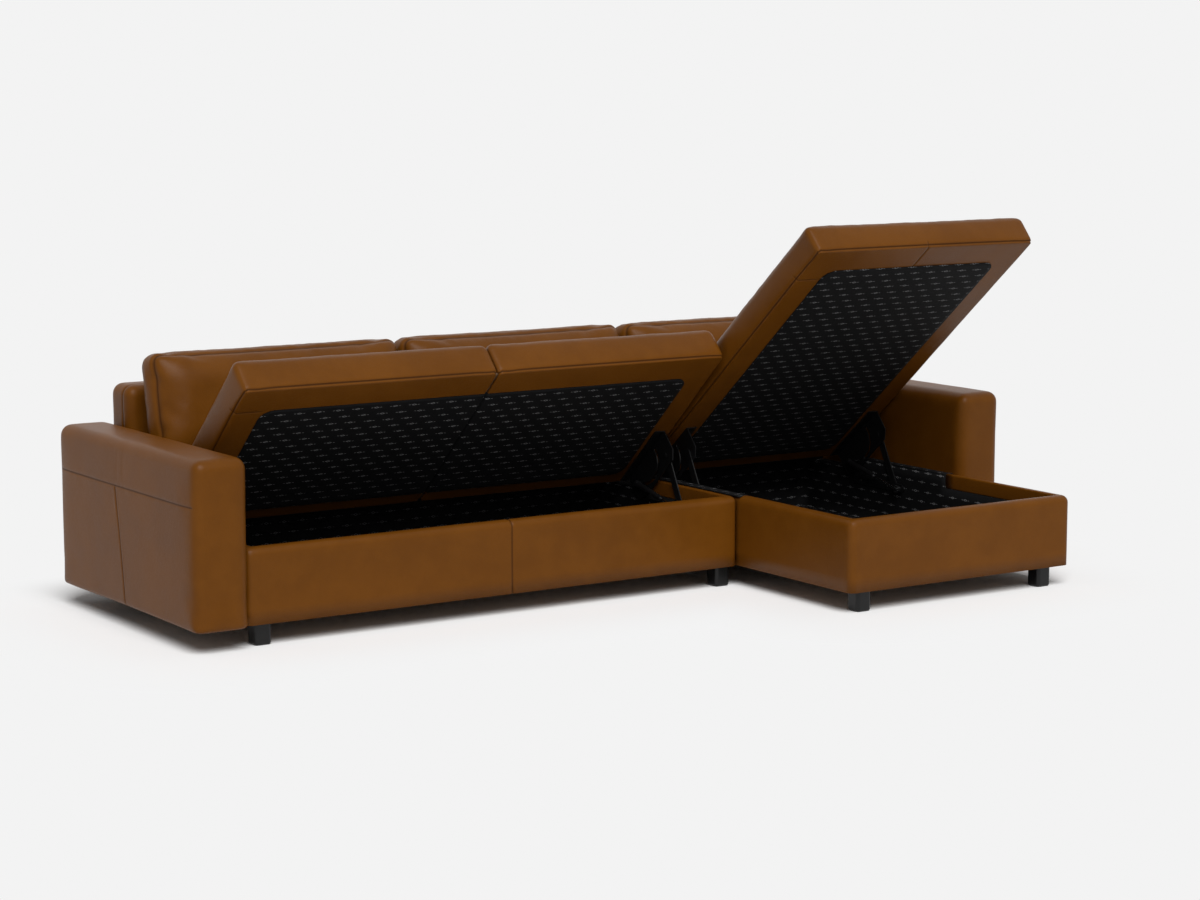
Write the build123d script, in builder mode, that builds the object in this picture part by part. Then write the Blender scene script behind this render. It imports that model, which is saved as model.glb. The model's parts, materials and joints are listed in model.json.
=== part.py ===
"""Storage chaise sofa: an upholstered corner sofa whose two seat lids swing up over storage boxes.

Millimetres, +Z up, the front faces -Y. The origin is on the floor under the middle of the
outline. The lids are drawn open, as they rest on their gas springs.
"""
import os
from math import atan2, ceil, cos, degrees, hypot, radians, sin, sqrt

from build123d import *

os.makedirs("parts", exist_ok=True)

# Overall sizes
overall_width = 3062
arm_depth = 970
chaise_reach = 588
chaise_box_width = 918
arm_width = 176
arm_lead = 40
arm_height = 580
rim_height = 300
back_height = 700
back_depth = 148
leg_height = 68
module_gap = 2

# Upholstered shells and the boards under them
arm_pad = 24
arm_edge_radius = 32
arm_sole_radius = 20
back_pad = 20
back_edge_radius = 34
cover_thickness = 4
rim_radius = 25
rim_wrap_drop = 50
lining_thickness = 2
board_thickness = 30
floor_thickness = 12
rail_height = 40
post_thickness = 26
bay_width = 270

# Storage box, its notch measured forward from the lid's rear edge
notch_setback = 185
notch_drop = 34
deck_thickness = 28
deck_depth = 63
deck_lid_gap = 12

# Lids, drawn closed first
lid_rest_gap = 0.5
lid_side_gap = 4
lid_arm_gap = 30
lid_board_thickness = 18
lid_board_inset = 25
lid_wrap_thickness = 8
lid_cloth_thickness = 3
cloth_front_border = 115
cloth_side_border = 100
cloth_rear_border = 65
seat_split = 1088
cushion_seam_gap = 1
seat_edge_height = 116
seat_crown = 18
seat_corner_radius = 28
seat_draw_in = 5
seat_crown_inset = 190
pad_edge_round = 9

# Back cushions
back_lean = 11
back_cushion_height = 350
back_cushion_gusset = 88
back_cushion_crown = 46
back_crown_inset = 110
back_cushion_corner = 40
back_cushion_draw_in = 7
back_cushion_gap = 6
back_cushion_arm_gap = 18
back_cushion_standoff = 118
back_cushion_foot_z = 458
cushion_bracket_width = 60
cushion_bracket_plate = 150
cushion_bracket_foot = 60
cushion_bracket_thickness = 4
cushion_bracket_rise = 100
cushion_bracket_shares = (0.25, 0.75)

# Legs and joining plates
leg_width = 56
leg_corner_radius = 12
leg_sole_radius = 8
leg_front_inset = 24
seat_leg_left_inset = 37
seat_leg_right_inset = 16
chaise_leg_left_inset = 47
chaise_leg_right_inset = 60
stud_radius = 4
stud_in_leg = 20
stud_clearance = 0.1
plate_length = 120
plate_width = 60
plate_thickness = 4
plate_hole_radius = 3
plate_hole_pitch = 80
plate_hole_gauge = 30
screw_head_radius = 6
screw_head_height = 3
screw_bite = 10
joint_setback = 290
joint_spacing = 400
back_joint_shares = (0.3, 0.7)

# Lifting gear, measured forward from the lid's rear edge and up from the floor
seat_open_angle = 42.8
chaise_open_angle = 40.1
seat_pole_setback = 101.4
seat_pole_height = 458
chaise_pole_setback = 79
chaise_pole_height = 459
link_pivot_setback = 453
link_pivot_height = 220
link_length = 199
link_width = 28
roller_post_setback = 215
roller_post_height = 284
steel_thickness = 4
layer_gap = 1
base_bar_width = 28
base_bar_overhang = 30
post_head_radius = 9
pivot_radius = 5
running_clearance = 0.05
pin_head_radius = 8
pin_head_height = 2.5
slot_clearance = 0.5
slot_points = 9
slot_step = 0.01
mismatch_samples = 20
crank_radius = 32
crank_lead = 118
crank_pin_radius = 4
eye_width = 10
eye_wall = 5
barrel_radius = 9
barrel_bore_radius = 7
barrel_length = 138
barrel_start = 12
barrel_cap = 6
rod_radius = 4
rod_setback = 30
piston_length = 12
piston_clearance = 0.1
eye_play = 0.4
plate_front_setback = 302
plate_rear_setback = 22
plate_low = 196
plate_nose_rise = 26
plate_tail_rise = 20
plate_tail_run = 53
plate_flange = 40
bracket_screw_radius = 2.5
bracket_screw_length = 24
bracket_screw_head = 4.5
bracket_screw_clearance = 0.1
bracket_screw_inset = 45
bracket_screw_tip_gap = 1

# Places that follow from the sizes
half_width = overall_width / 2
front_y = -(arm_depth - chaise_reach) / 2
back_y = front_y + arm_depth
chaise_front_y = front_y - chaise_reach
seat_x0 = -half_width + arm_width + module_gap
chaise_x1 = half_width - arm_width - module_gap
chaise_x0 = chaise_x1 - chaise_box_width
seat_x1 = chaise_x0 - module_gap
arm_front_y = front_y - arm_lead
back_front_y = back_y - back_depth
rear_board_y1 = back_front_y - module_gap
rear_board_y0 = rear_board_y1 - board_thickness
lid_depth = rear_board_y0 - deck_depth - deck_lid_gap - front_y
notch_y = front_y + lid_depth - notch_setback
board_z0 = leg_height + floor_thickness
board_z1 = rim_height - cover_thickness
notch_z = board_z1 - notch_drop
lid_rear_y = front_y + lid_depth
deck_y0 = lid_rear_y + deck_lid_gap
deck_z1 = notch_z + deck_thickness
inner_skin = cover_thickness + board_thickness
wall = inner_skin + lining_thickness
wrap_z = rim_height - rim_wrap_drop
lid_z0 = rim_height + lid_rest_gap
split_x = -half_width + seat_split
seat_lid_x0 = seat_x0 + lid_arm_gap
seat_lid_x1 = seat_x1 - lid_side_gap
chaise_lid_x0 = chaise_x0 + lid_side_gap
chaise_lid_x1 = chaise_x1 - lid_side_gap
seat_pole = (lid_depth - seat_pole_setback, seat_pole_height)
chaise_pole = (lid_depth - chaise_pole_setback, chaise_pole_height)
link_pivot = (lid_depth - link_pivot_setback, link_pivot_height)
roller_post = (lid_depth - roller_post_setback, roller_post_height)


def save(built, name):
    """Label a finished sub-part and write it."""
    built.part.label = name
    export_step(built.part, f"parts/{name}.step")


def block(low, high, mode=Mode.ADD):
    """A box between two corners, in the part that is being built."""
    centre = tuple((a + b) / 2 for a, b in zip(low, high))
    size = [b - a for a, b in zip(low, high)]
    with Locations(centre):
        Box(*size, mode=mode)


def turned(point, degrees_up):
    """A (y, z) offset turned from +Y towards +Z."""
    c, s = cos(radians(degrees_up)), sin(radians(degrees_up))
    return (point[0] * c - point[1] * s, point[0] * s + point[1] * c)


def ladder(low, high):
    """Rails and posts that fill a box, with no bay wider than the bay width along its length."""
    (x0, y0, z0), (x1, y1, z1) = low, high
    along_x = x1 - x0 > y1 - y0
    start, end = (x0, x1) if along_x else (y0, y1)
    bays = ceil((end - start - post_thickness) / (bay_width + post_thickness))
    pitch = (end - start - post_thickness) / bays
    middle = (z0 + z1 - rail_height) / 2
    for foot in (z0, middle, z1 - rail_height):
        block((x0, y0, foot), (x1, y1, foot + rail_height))
    for n in range(bays + 1):
        a = start + n * pitch
        b = a + post_thickness
        if along_x:
            block((a, y0, z0), (b, y1, z1))
        else:
            block((x0, a, z0), (x1, b, z1))


# Where the modules are joined underneath, and where each leg stands
joint_ys = [front_y + joint_setback, front_y + joint_setback + joint_spacing]
side_joints = [(seat_x0 - module_gap / 2, y) for y in joint_ys]
side_joints += [(chaise_x0 - module_gap / 2, y) for y in joint_ys]
side_joints += [(chaise_x1 + module_gap / 2, y) for y in joint_ys]
back_joint_y = rear_board_y1 + module_gap / 2
back_joints = []
for x0, x1 in ((seat_x0, seat_x1), (chaise_x0, chaise_x1)):
    for share in back_joint_shares:
        back_joints.append((x0 + share * (x1 - x0), back_joint_y))
hole_offsets = [(sx * plate_hole_pitch / 2, sy * plate_hole_gauge / 2) for sx in (-1, 1) for sy in (-1, 1)]
screw_points = [(x + dx, y + dy) for x, y in side_joints for dx, dy in hole_offsets]
screw_points += [(x + dy, y + dx) for x, y in back_joints for dx, dy in hole_offsets]

half_leg = leg_width / 2
rear_leg_y = back_y - leg_front_inset - half_leg
seat_leg_xs = (seat_x0 + seat_leg_left_inset + half_leg, seat_x1 - seat_leg_right_inset - half_leg)
chaise_leg_xs = (chaise_x0 + chaise_leg_left_inset + half_leg, chaise_x1 - chaise_leg_right_inset - half_leg)
leg_points = [(x, front_y + leg_front_inset + half_leg) for x in seat_leg_xs]
leg_points += [(x, chaise_front_y + leg_front_inset + half_leg) for x in chaise_leg_xs]
leg_points += [(x, rear_leg_y) for x in (*seat_leg_xs, *chaise_leg_xs)]


def bottom_holes():
    """Holes for leg studs and plate screws in the underside of a wooden part."""
    with Locations(*[(x, y, leg_height + floor_thickness / 2) for x, y in leg_points]):
        Cylinder(stud_radius + stud_clearance, floor_thickness, mode=Mode.SUBTRACT)
    with Locations(*[(x, y, leg_height + screw_bite / 2) for x, y in screw_points]):
        Cylinder(plate_hole_radius, screw_bite, mode=Mode.SUBTRACT)


# Arms: a ladder frame inside a padded cover that is open underneath
for side, x0 in (("left", -half_width), ("right", half_width - arm_width)):
    x1 = x0 + arm_width
    core_low = (x0 + arm_pad, arm_front_y + arm_pad, leg_height)
    core_high = (x1 - arm_pad, back_y - arm_pad, arm_height - arm_pad)

    with BuildPart() as arm_frame:
        ladder(core_low, core_high)
        bottom_holes()
    save(arm_frame, f"{side}_arm_frame")

    with BuildPart() as arm_cover:
        block((x0, arm_front_y, leg_height), (x1, back_y, arm_height))
        sole = arm_cover.edges().group_by(Axis.Z)[0]
        fillet([e for e in arm_cover.edges() if e not in sole], arm_edge_radius)
        fillet(arm_cover.edges().group_by(Axis.Z)[0], arm_sole_radius)
        block(core_low, core_high, mode=Mode.SUBTRACT)
    save(arm_cover, f"{side}_arm_cover")


# Back rests: a ladder frame inside a padded cover, behind each storage box
for module, x0, x1 in (("seat", seat_x0, seat_x1), ("chaise", chaise_x0, chaise_x1)):
    core_low = (x0 + back_pad, back_front_y + back_pad, leg_height)
    core_high = (x1 - back_pad, back_y - back_pad, back_height - back_pad)

    with BuildPart() as back_frame:
        ladder(core_low, core_high)
        bottom_holes()
    save(back_frame, f"{module}_back_frame")

    with BuildPart() as back_cover:
        block((x0, back_front_y, leg_height), (x1, back_y, back_height))
        sole = back_cover.edges().group_by(Axis.Z)[0]
        fillet([e for e in back_cover.edges() if e not in sole], back_edge_radius)
        block(core_low, core_high, mode=Mode.SUBTRACT)
    save(back_cover, f"{module}_back_cover")


def wall_screws():
    """(y, z) of the screws that hold a lifting bracket to a box wall."""
    y, z = front_y + link_pivot[0], link_pivot[1]
    return [(y + bracket_screw_inset, z), (front_y + roller_post[0] - bracket_screw_inset, z)]


def side_screw_holes(x_inner, inward):
    """Pilot holes for the bracket screws, from a box wall's inner face outwards."""
    for y, z in wall_screws():
        with BuildSketch(Plane.YZ.offset(x_inner)) as hole:
            with Locations((y, z)):
                Circle(bracket_screw_radius + bracket_screw_clearance)
        extrude(hole.sketch, amount=-inward * bracket_screw_length, mode=Mode.SUBTRACT)


# Storage boxes: five boards, a deck at the rear, a leather skin and a cloth lining
boxes = (
    ("seat", seat_x0, seat_x1, front_y, notch_y),
    ("chaise", chaise_x0, chaise_x1, chaise_front_y, front_y),
)
for module, x0, x1, y0, skin_end in boxes:
    skin_x0, skin_x1, skin_y0 = x0 + cover_thickness, x1 - cover_thickness, y0 + cover_thickness
    board_y1 = skin_y0 + board_thickness
    inner_x0, inner_x1, inner_y0 = x0 + inner_skin, x1 - inner_skin, y0 + inner_skin
    core_radius = rim_radius - cover_thickness

    with BuildPart() as front_board:
        block((skin_x0, skin_y0, board_z0), (skin_x1, board_y1, board_z1))
        corners = front_board.edges().filter_by(Axis.Z).sort_by(Axis.Y)[:2]
        rim = front_board.faces().sort_by(Axis.Z)[-1].edges().sort_by(Axis.Y)[:-1]
        fillet(corners + rim, core_radius)
    save(front_board, f"{module}_front_board")

    with BuildPart() as rear_board:
        block((skin_x0, rear_board_y0, board_z0), (skin_x1, rear_board_y1, deck_z1))
    save(rear_board, f"{module}_rear_board")

    with BuildPart() as deck_board:
        block((skin_x0, deck_y0, notch_z), (skin_x1, rear_board_y0, deck_z1))
    save(deck_board, f"{module}_deck_board")

    for side, near, far, inward in (("left", skin_x0, inner_x0, 1), ("right", skin_x1, inner_x1, -1)):
        with BuildPart() as side_board:
            block((min(near, far), board_y1, board_z0), (max(near, far), notch_y, board_z1))
            outer = side_board.edges().filter_by(Axis.Y).group_by(Axis.Z)[-1].sort_by(Axis.X)
            fillet(outer[0] if inward > 0 else outer[-1], core_radius)
            block((min(near, far), notch_y, board_z0), (max(near, far), rear_board_y0, notch_z))
            side_screw_holes(far + inward * lining_thickness, inward)
        save(side_board, f"{module}_{side}_board")

    with BuildPart() as floor_board:
        block((skin_x0, skin_y0, leg_height), (skin_x1, rear_board_y1, board_z0))
        fillet(floor_board.edges().filter_by(Axis.Z).sort_by(Axis.Y)[:2], core_radius)
        bottom_holes()
    save(floor_board, f"{module}_floor_board")

    with BuildPart() as core:
        block((skin_x0, skin_y0, 0), (skin_x1, skin_end + board_thickness, board_z1))
        corners = core.edges().filter_by(Axis.Z).sort_by(Axis.Y)[:2]
        rim = core.faces().sort_by(Axis.Z)[-1].edges().sort_by(Axis.Y)[:-1]
        fillet(corners + rim, core_radius)

    with BuildPart() as box_cover:
        block((x0, y0, leg_height), (x1, skin_end, rim_height))
        corners = box_cover.edges().filter_by(Axis.Z).sort_by(Axis.Y)[:2]
        rim = box_cover.faces().sort_by(Axis.Z)[-1].edges().sort_by(Axis.Y)[:-1]
        fillet(corners + rim, rim_radius)
        add(core.part, mode=Mode.SUBTRACT)
        block((inner_x0, inner_y0, wrap_z), (inner_x1, skin_end, board_z1))
        block((x0 + wall, y0 + wall, 0), (x1 - wall, skin_end, rim_height), mode=Mode.SUBTRACT)
    save(box_cover, f"{module}_box_cover")

    with BuildPart() as lining:
        block((inner_x0, inner_y0, board_z0), (inner_x1, rear_board_y0, notch_z))
        if skin_end < notch_y:
            block((skin_x0, skin_end, board_z1), (skin_x1, notch_y, rim_height))
            block((inner_x0, skin_end, notch_z), (inner_x1, notch_y, board_z1))
        block((inner_x0, inner_y0, wrap_z), (inner_x1, skin_end, rim_height), mode=Mode.SUBTRACT)
        cavity_low = (x0 + wall, y0 + wall, board_z0 + lining_thickness)
        cavity_high = (x1 - wall, rear_board_y0 - lining_thickness, rim_height)
        block(cavity_low, cavity_high, mode=Mode.SUBTRACT)
        side_screw_holes(x0 + wall, 1)
        side_screw_holes(x1 - wall, -1)
    save(lining, f"{module}_lining")


# Legs with their studs, and the plates that join the modules
with BuildPart() as legs:
    with Locations(*[(x, y, leg_height / 2) for x, y in leg_points]):
        Box(leg_width, leg_width, leg_height)
    fillet(legs.edges().filter_by(Axis.Z), leg_corner_radius)
    fillet(legs.edges().group_by(Axis.Z)[0], leg_sole_radius)
    with Locations(*[(x, y, leg_height - stud_in_leg / 2) for x, y in leg_points]):
        Cylinder(stud_radius + stud_clearance, stud_in_leg, mode=Mode.SUBTRACT)
save(legs, "legs")

with BuildPart() as leg_studs:
    stud_middle = leg_height + (floor_thickness - stud_in_leg) / 2
    with Locations(*[(x, y, stud_middle) for x, y in leg_points]):
        Cylinder(stud_radius, stud_in_leg + floor_thickness)
save(leg_studs, "leg_studs")

with BuildPart() as joining_plates:
    plate_z = leg_height - plate_thickness / 2
    with Locations(*[(x, y, plate_z) for x, y in side_joints]):
        Box(plate_length, plate_width, plate_thickness)
    with Locations(*[(x, y, plate_z) for x, y in back_joints]):
        Box(plate_width, plate_length, plate_thickness)
    with Locations(*[(x, y, plate_z) for x, y in screw_points]):
        Cylinder(plate_hole_radius, plate_thickness, mode=Mode.SUBTRACT)
save(joining_plates, "joining_plates")

with BuildPart() as joining_screws:
    head_z = leg_height - plate_thickness
    with Locations(*[(x, y, head_z - screw_head_height / 2) for x, y in screw_points]):
        Cylinder(screw_head_radius, screw_head_height)
    shank = plate_thickness + screw_bite
    with Locations(*[(x, y, head_z + shank / 2) for x, y in screw_points]):
        Cylinder(plate_hole_radius - stud_clearance, shank)
save(joining_screws, "joining_screws")


def puffed_outline(x0, x1, y0, y1, corner, draw_in):
    """A face with rounded corners whose sides draw in between them."""
    xm, ym = (x0 + x1) / 2, (y0 + y1) / 2
    k = corner * (1 - cos(radians(45)))
    with BuildLine() as outline:
        ThreePointArc((x0 + corner, y0), (xm, y0 + draw_in), (x1 - corner, y0))
        ThreePointArc((x1 - corner, y0), (x1 - k, y0 + k), (x1, y0 + corner))
        ThreePointArc((x1, y0 + corner), (x1 - draw_in, ym), (x1, y1 - corner))
        ThreePointArc((x1, y1 - corner), (x1 - k, y1 - k), (x1 - corner, y1))
        ThreePointArc((x1 - corner, y1), (xm, y1 - draw_in), (x0 + corner, y1))
        ThreePointArc((x0 + corner, y1), (x0 + k, y1 - k), (x0, y1 - corner))
        ThreePointArc((x0, y1 - corner), (x0 + draw_in, ym), (x0, y0 + corner))
        ThreePointArc((x0, y0 + corner), (x0 + k, y0 + k), (x0 + corner, y0))
    make_face(outline.edges())


def pad_levels(start, edge_height, crown, crown_inset):
    """(height, inset) levels of a pad: a rounded foot, a soft side and a crown."""
    side = [(0, 1), (0.13, 0.2), (0.5, 0), (0.87, 0.2), (1, 1)]
    top = [(0.34, 0.12), (0.62, 0.32), (0.86, 0.63), (1, 1)]
    levels = [(start + share * edge_height, pad_edge_round * inset) for share, inset in side]
    for share, inset in top:
        levels.append((start + edge_height + share * crown, pad_edge_round + crown_inset * inset))
    return levels


def crowned_pad(plane, x0, x1, y0, y1, levels, corner, draw_in):
    """A pad lofted through (height, inset) levels above its plane."""
    sections = []
    for height, inset in levels:
        with BuildSketch(plane.offset(height)) as section:
            spread = max(corner - inset / 3, corner / 2)
            puffed_outline(x0 + inset, x1 - inset, y0 + inset, y1 - inset, spread, draw_in)
        sections.append(section.sketch)
    loft(sections, ruled=True)


# Back cushions, leaning on brackets that stand off the back rests
lean_sin, lean_cos = sin(radians(back_lean)), cos(radians(back_lean))
cushion_foot = (0, back_front_y - back_cushion_standoff, back_cushion_foot_z)
cushion_plane = Plane(origin=cushion_foot, x_dir=(1, 0, 0), z_dir=(0, -lean_cos, lean_sin))
back_levels = pad_levels(0, back_cushion_gusset, back_cushion_crown, back_crown_inset)
half_gap = back_cushion_gap / 2
back_cushions = (
    ("left", seat_x0 + back_cushion_arm_gap, split_x - half_gap),
    ("middle", split_x + half_gap, seat_lid_x1),
    ("chaise", chaise_lid_x0, chaise_lid_x1 - half_gap),
)
for place, x0, x1 in back_cushions:
    with BuildPart() as back_cushion:
        outline_sizes = (back_cushion_corner, back_cushion_draw_in)
        crowned_pad(cushion_plane, x0, x1, 0, back_cushion_height, back_levels, *outline_sizes)
    save(back_cushion, f"back_cushion_{place}")

with BuildPart() as cushion_brackets:
    strut_z = back_cushion_foot_z + cushion_bracket_rise
    strut_y = cushion_foot[1] + cushion_bracket_rise * lean_sin / lean_cos
    half_steel = cushion_bracket_thickness / 2
    for place, x0, x1 in back_cushions:
        for share in cushion_bracket_shares:
            x = x0 + share * (x1 - x0)
            a, b = x - cushion_bracket_width / 2, x + cushion_bracket_width / 2
            with BuildSketch(cushion_plane):
                with Locations((x, cushion_bracket_rise / lean_cos)):
                    Rectangle(cushion_bracket_width, cushion_bracket_plate)
            extrude(amount=-cushion_bracket_thickness)
            block((a, strut_y + half_steel, strut_z - half_steel), (b, back_front_y, strut_z + half_steel))
            foot_low = (a, back_front_y - cushion_bracket_thickness, strut_z - cushion_bracket_foot / 2)
            block(foot_low, (b, back_front_y, strut_z + cushion_bracket_foot / 2))
save(cushion_brackets, "cushion_brackets")


# Lids and their lifting gear
class Lift:
    """The travel of one lid: a front link that carries it and a fixed post in its cam slot."""

    def __init__(self, pole, open_angle):
        self.angle = open_angle
        dy, dz = link_pivot[0] - pole[0], link_pivot[1] - pole[1]
        reach, heading = hypot(dy, dz), degrees(atan2(dz, dy))
        half = radians(open_angle / 2)
        arm = reach * cos(half) - sqrt(link_length**2 - (reach * sin(half)) ** 2)
        self.pole = pole
        self.closed = self.along(arm, heading + open_angle / 2)
        self.opened = self.along(arm, heading - open_angle / 2)
        self.link_open = self.link_angle(self.opened)
        self.swing = self.link_open - self.link_angle(self.closed)

    def along(self, distance, heading):
        """The point at a distance and heading from the pole."""
        dy, dz = turned((distance, 0), heading)
        return (self.pole[0] + dy, self.pole[1] + dz)

    def link_angle(self, point):
        """The heading of the front link when its upper pin is at a point."""
        return degrees(atan2(point[1] - link_pivot[1], point[0] - link_pivot[0]))

    def slot_point(self, share):
        """The post in the closed lid's own frame, with the lid this share of the way to closed."""
        dy, dz = turned((link_length, 0), self.link_open - self.swing * share)
        pin = (link_pivot[0] + dy, link_pivot[1] + dz)
        offset = (roller_post[0] - pin[0], roller_post[1] - pin[1])
        dy, dz = turned(offset, self.angle * (1 - share))
        return (self.closed[0] + dy, self.closed[1] + dz)

    def crank_pin(self, share):
        """The pin that the gas spring's rod pushes, in the same terms."""
        dy, dz = turned((crank_radius, 0), self.link_open - self.swing * share + crank_lead)
        return (link_pivot[0] + dy, link_pivot[1] + dz)

    def spring(self, share):
        """The gas spring's length and heading from the post to the crank pin."""
        y, z = self.crank_pin(share)
        dy, dz = y - roller_post[0], z - roller_post[1]
        return hypot(dy, dz), degrees(atan2(dz, dy)) % 360

    def eye_mismatch(self):
        """How far the rod's eye strays from the crank pin when both move at steady ratios."""
        (l0, a0), (l1, a1) = self.spring(0), self.spring(1)
        worst = 0
        for n in range(mismatch_samples + 1):
            share = n / mismatch_samples
            dy, dz = turned((l0 + (l1 - l0) * share, 0), a0 + (a1 - a0) * share)
            y, z = self.crank_pin(share)
            worst = max(worst, hypot(roller_post[0] + dy - y, roller_post[1] + dz - z))
        return worst

    def lid_plane(self):
        """The plane whose own coordinates are the closed lid's, turned up to the open pose."""
        c, s = cos(radians(self.angle)), sin(radians(self.angle))
        y, z = self.pole[0] + front_y, self.pole[1]
        origin = (0, y - (y * c + z * s), z - (z * c - y * s))
        return Plane(origin=origin, x_dir=(1, 0, 0), z_dir=(0, s, c))


def yz(point):
    """A point of the lifting gear in the sofa's own y and z."""
    return (point[0] + front_y, point[1])


seat_lift = Lift(seat_pole, seat_open_angle)
chaise_lift = Lift(chaise_pole, chaise_open_angle)
link_layer = steel_thickness + layer_gap
plate_layer = link_layer + steel_thickness + layer_gap
lid_pin_end = plate_layer + steel_thickness + layer_gap / 2
spring_layer = lid_pin_end + pin_head_height + layer_gap + barrel_radius
slot_half = pivot_radius + slot_clearance

seat_levels = pad_levels(lid_z0, seat_edge_height, seat_crown, seat_crown_inset)


def seam_halves(x0, x1, seams):
    """The x ranges of the cushions on a lid, split at its seams."""
    edges = [x0]
    for seam in seams:
        edges += [seam - cushion_seam_gap / 2, seam + cushion_seam_gap / 2]
    edges.append(x1)
    return list(zip(edges[::2], edges[1::2]))


def save_lid(module, lift, x0, x1, y0, cushions):
    """Write a lid's cushions, board and underside cloth."""
    plane = lift.lid_plane()
    lid_board_z0 = lid_z0 + lid_wrap_thickness
    board_low = (x0 + lid_board_inset, y0 + lid_board_inset, lid_board_z0)
    lid_board_z1 = lid_board_z0 + lid_board_thickness
    board_high = (x1 - lid_board_inset, lid_rear_y - lid_board_inset, lid_board_z1)
    cloth_low = (x0 + cloth_side_border, y0 + cloth_front_border, lid_z0)
    cloth_high = (x1 - cloth_side_border, lid_rear_y - cloth_rear_border, lid_z0 + lid_cloth_thickness)
    for name, a, b in cushions:
        with BuildPart(plane) as cushion:
            crowned_pad(plane, a, b, y0, lid_rear_y, seat_levels, seat_corner_radius, seat_draw_in)
            block(board_low, board_high, mode=Mode.SUBTRACT)
            block(cloth_low, cloth_high, mode=Mode.SUBTRACT)
        save(cushion, name)

    with BuildPart(plane) as lid_board:
        block(board_low, board_high)
    save(lid_board, f"{module}_lid_board")

    with BuildPart(plane) as lid_cloth:
        block(cloth_low, cloth_high)
    save(lid_cloth, f"{module}_lid_cloth")


def slot_edges(lift):
    """The cam slot's two sides and round ends, as an outline in the closed lid's frame."""
    left, right = [], []
    for n in range(slot_points):
        share = n / (slot_points - 1)
        y, z = yz(lift.slot_point(share))
        y2, z2 = yz(lift.slot_point(share + slot_step))
        span = hypot(y2 - y, z2 - z)
        ny, nz = -(z2 - z) / span * slot_half, (y2 - y) / span * slot_half
        left.append((y + ny, z + nz))
        right.append((y - ny, z - nz))
        if n == 0:
            start = (y - (y2 - y) / span * slot_half, z - (z2 - z) / span * slot_half)
        end = (y + (y2 - y) / span * slot_half, z + (z2 - z) / span * slot_half)
    Spline(*left)
    ThreePointArc(left[-1], end, right[-1])
    Spline(*right)
    ThreePointArc(left[0], start, right[0])


def save_lid_plate(module, side, lift, wall_x, inward):
    """Write the plate on a lid's underside that hangs on the front link and rides on the post."""
    plane = lift.lid_plane()
    x = wall_x + inward * plate_layer
    web_plane = Plane(origin=plane.from_local_coords((x, 0, 0)), x_dir=plane.y_dir, z_dir=(1, 0, 0))
    y0, y1 = lid_rear_y - plate_front_setback, lid_rear_y - plate_rear_setback
    outline = (
        (y0, lid_z0),
        (y1, lid_z0),
        (y1, plate_low + plate_tail_rise),
        (y1 - plate_tail_run, plate_low),
        (y0 + plate_nose_rise, plate_low),
        (y0, plate_low + plate_nose_rise),
    )
    with BuildPart() as lid_plate:
        with BuildSketch(web_plane):
            with BuildLine():
                Polyline(*outline, close=True)
            make_face()
            with Locations(yz(lift.closed)):
                Circle(pivot_radius + running_clearance, mode=Mode.SUBTRACT)
            with BuildLine():
                slot_edges(lift)
            make_face(mode=Mode.SUBTRACT)
        extrude(amount=inward * steel_thickness)
        with BuildSketch(web_plane):
            with Locations(((y0 + y1) / 2, lid_z0 - steel_thickness / 2)):
                Rectangle(y1 - y0, steel_thickness)
        extrude(amount=inward * plate_flange)
    save(lid_plate, f"{module}_lid_plate_{side}")


def save_base_bracket(module, side, wall_x, inward):
    """Write the fixed bracket: a bar along the box wall and the upright that carries the post."""
    (y0, z0), (y1, z1) = yz(link_pivot), yz(roller_post)
    with BuildPart() as bracket:
        with BuildSketch(Plane.YZ.offset(wall_x)):
            with Locations(((y0 + y1) / 2, z0)):
                Rectangle(y1 - y0 + 2 * base_bar_overhang, base_bar_width)
            with Locations((y1, (z0 + z1) / 2)):
                Rectangle(2 * post_head_radius, z1 - z0)
            with Locations((y1, z1)):
                Circle(post_head_radius)
            with Locations((y0, z0), (y1, z1)):
                Circle(pivot_radius, mode=Mode.SUBTRACT)
            with Locations(*wall_screws()):
                Circle(bracket_screw_radius + bracket_screw_clearance, mode=Mode.SUBTRACT)
        extrude(amount=inward * steel_thickness)
        for y, z in wall_screws():
            with BuildSketch(Plane.YZ.offset(wall_x + inward * steel_thickness)):
                with Locations((y, z)):
                    Circle(bracket_screw_head)
            extrude(amount=-inward * pin_head_height, mode=Mode.SUBTRACT)
    save(bracket, f"{module}_{side}_bracket")


def save_link(module, side, lift, wall_x, inward):
    """Write the front link, a bell crank from the fixed pivot to the lid and to the gas spring."""
    pivot, top, crank = yz(link_pivot), yz(lift.opened), yz(lift.crank_pin(0))
    with BuildPart() as link:
        with BuildSketch(Plane.YZ.offset(wall_x + inward * link_layer)):
            for end in (top, crank):
                middle = ((pivot[0] + end[0]) / 2, (pivot[1] + end[1]) / 2)
                heading = degrees(atan2(end[1] - pivot[1], end[0] - pivot[0]))
                with Locations(Location((*middle, 0), (0, 0, heading))):
                    SlotCenterToCenter(hypot(end[0] - pivot[0], end[1] - pivot[1]), link_width)
            with Locations(pivot):
                Circle(pivot_radius + running_clearance, mode=Mode.SUBTRACT)
            with Locations(top):
                Circle(pivot_radius, mode=Mode.SUBTRACT)
            with Locations(crank):
                Circle(crank_pin_radius, mode=Mode.SUBTRACT)
        extrude(amount=inward * steel_thickness)
    save(link, f"{module}_link_{side}")


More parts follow.
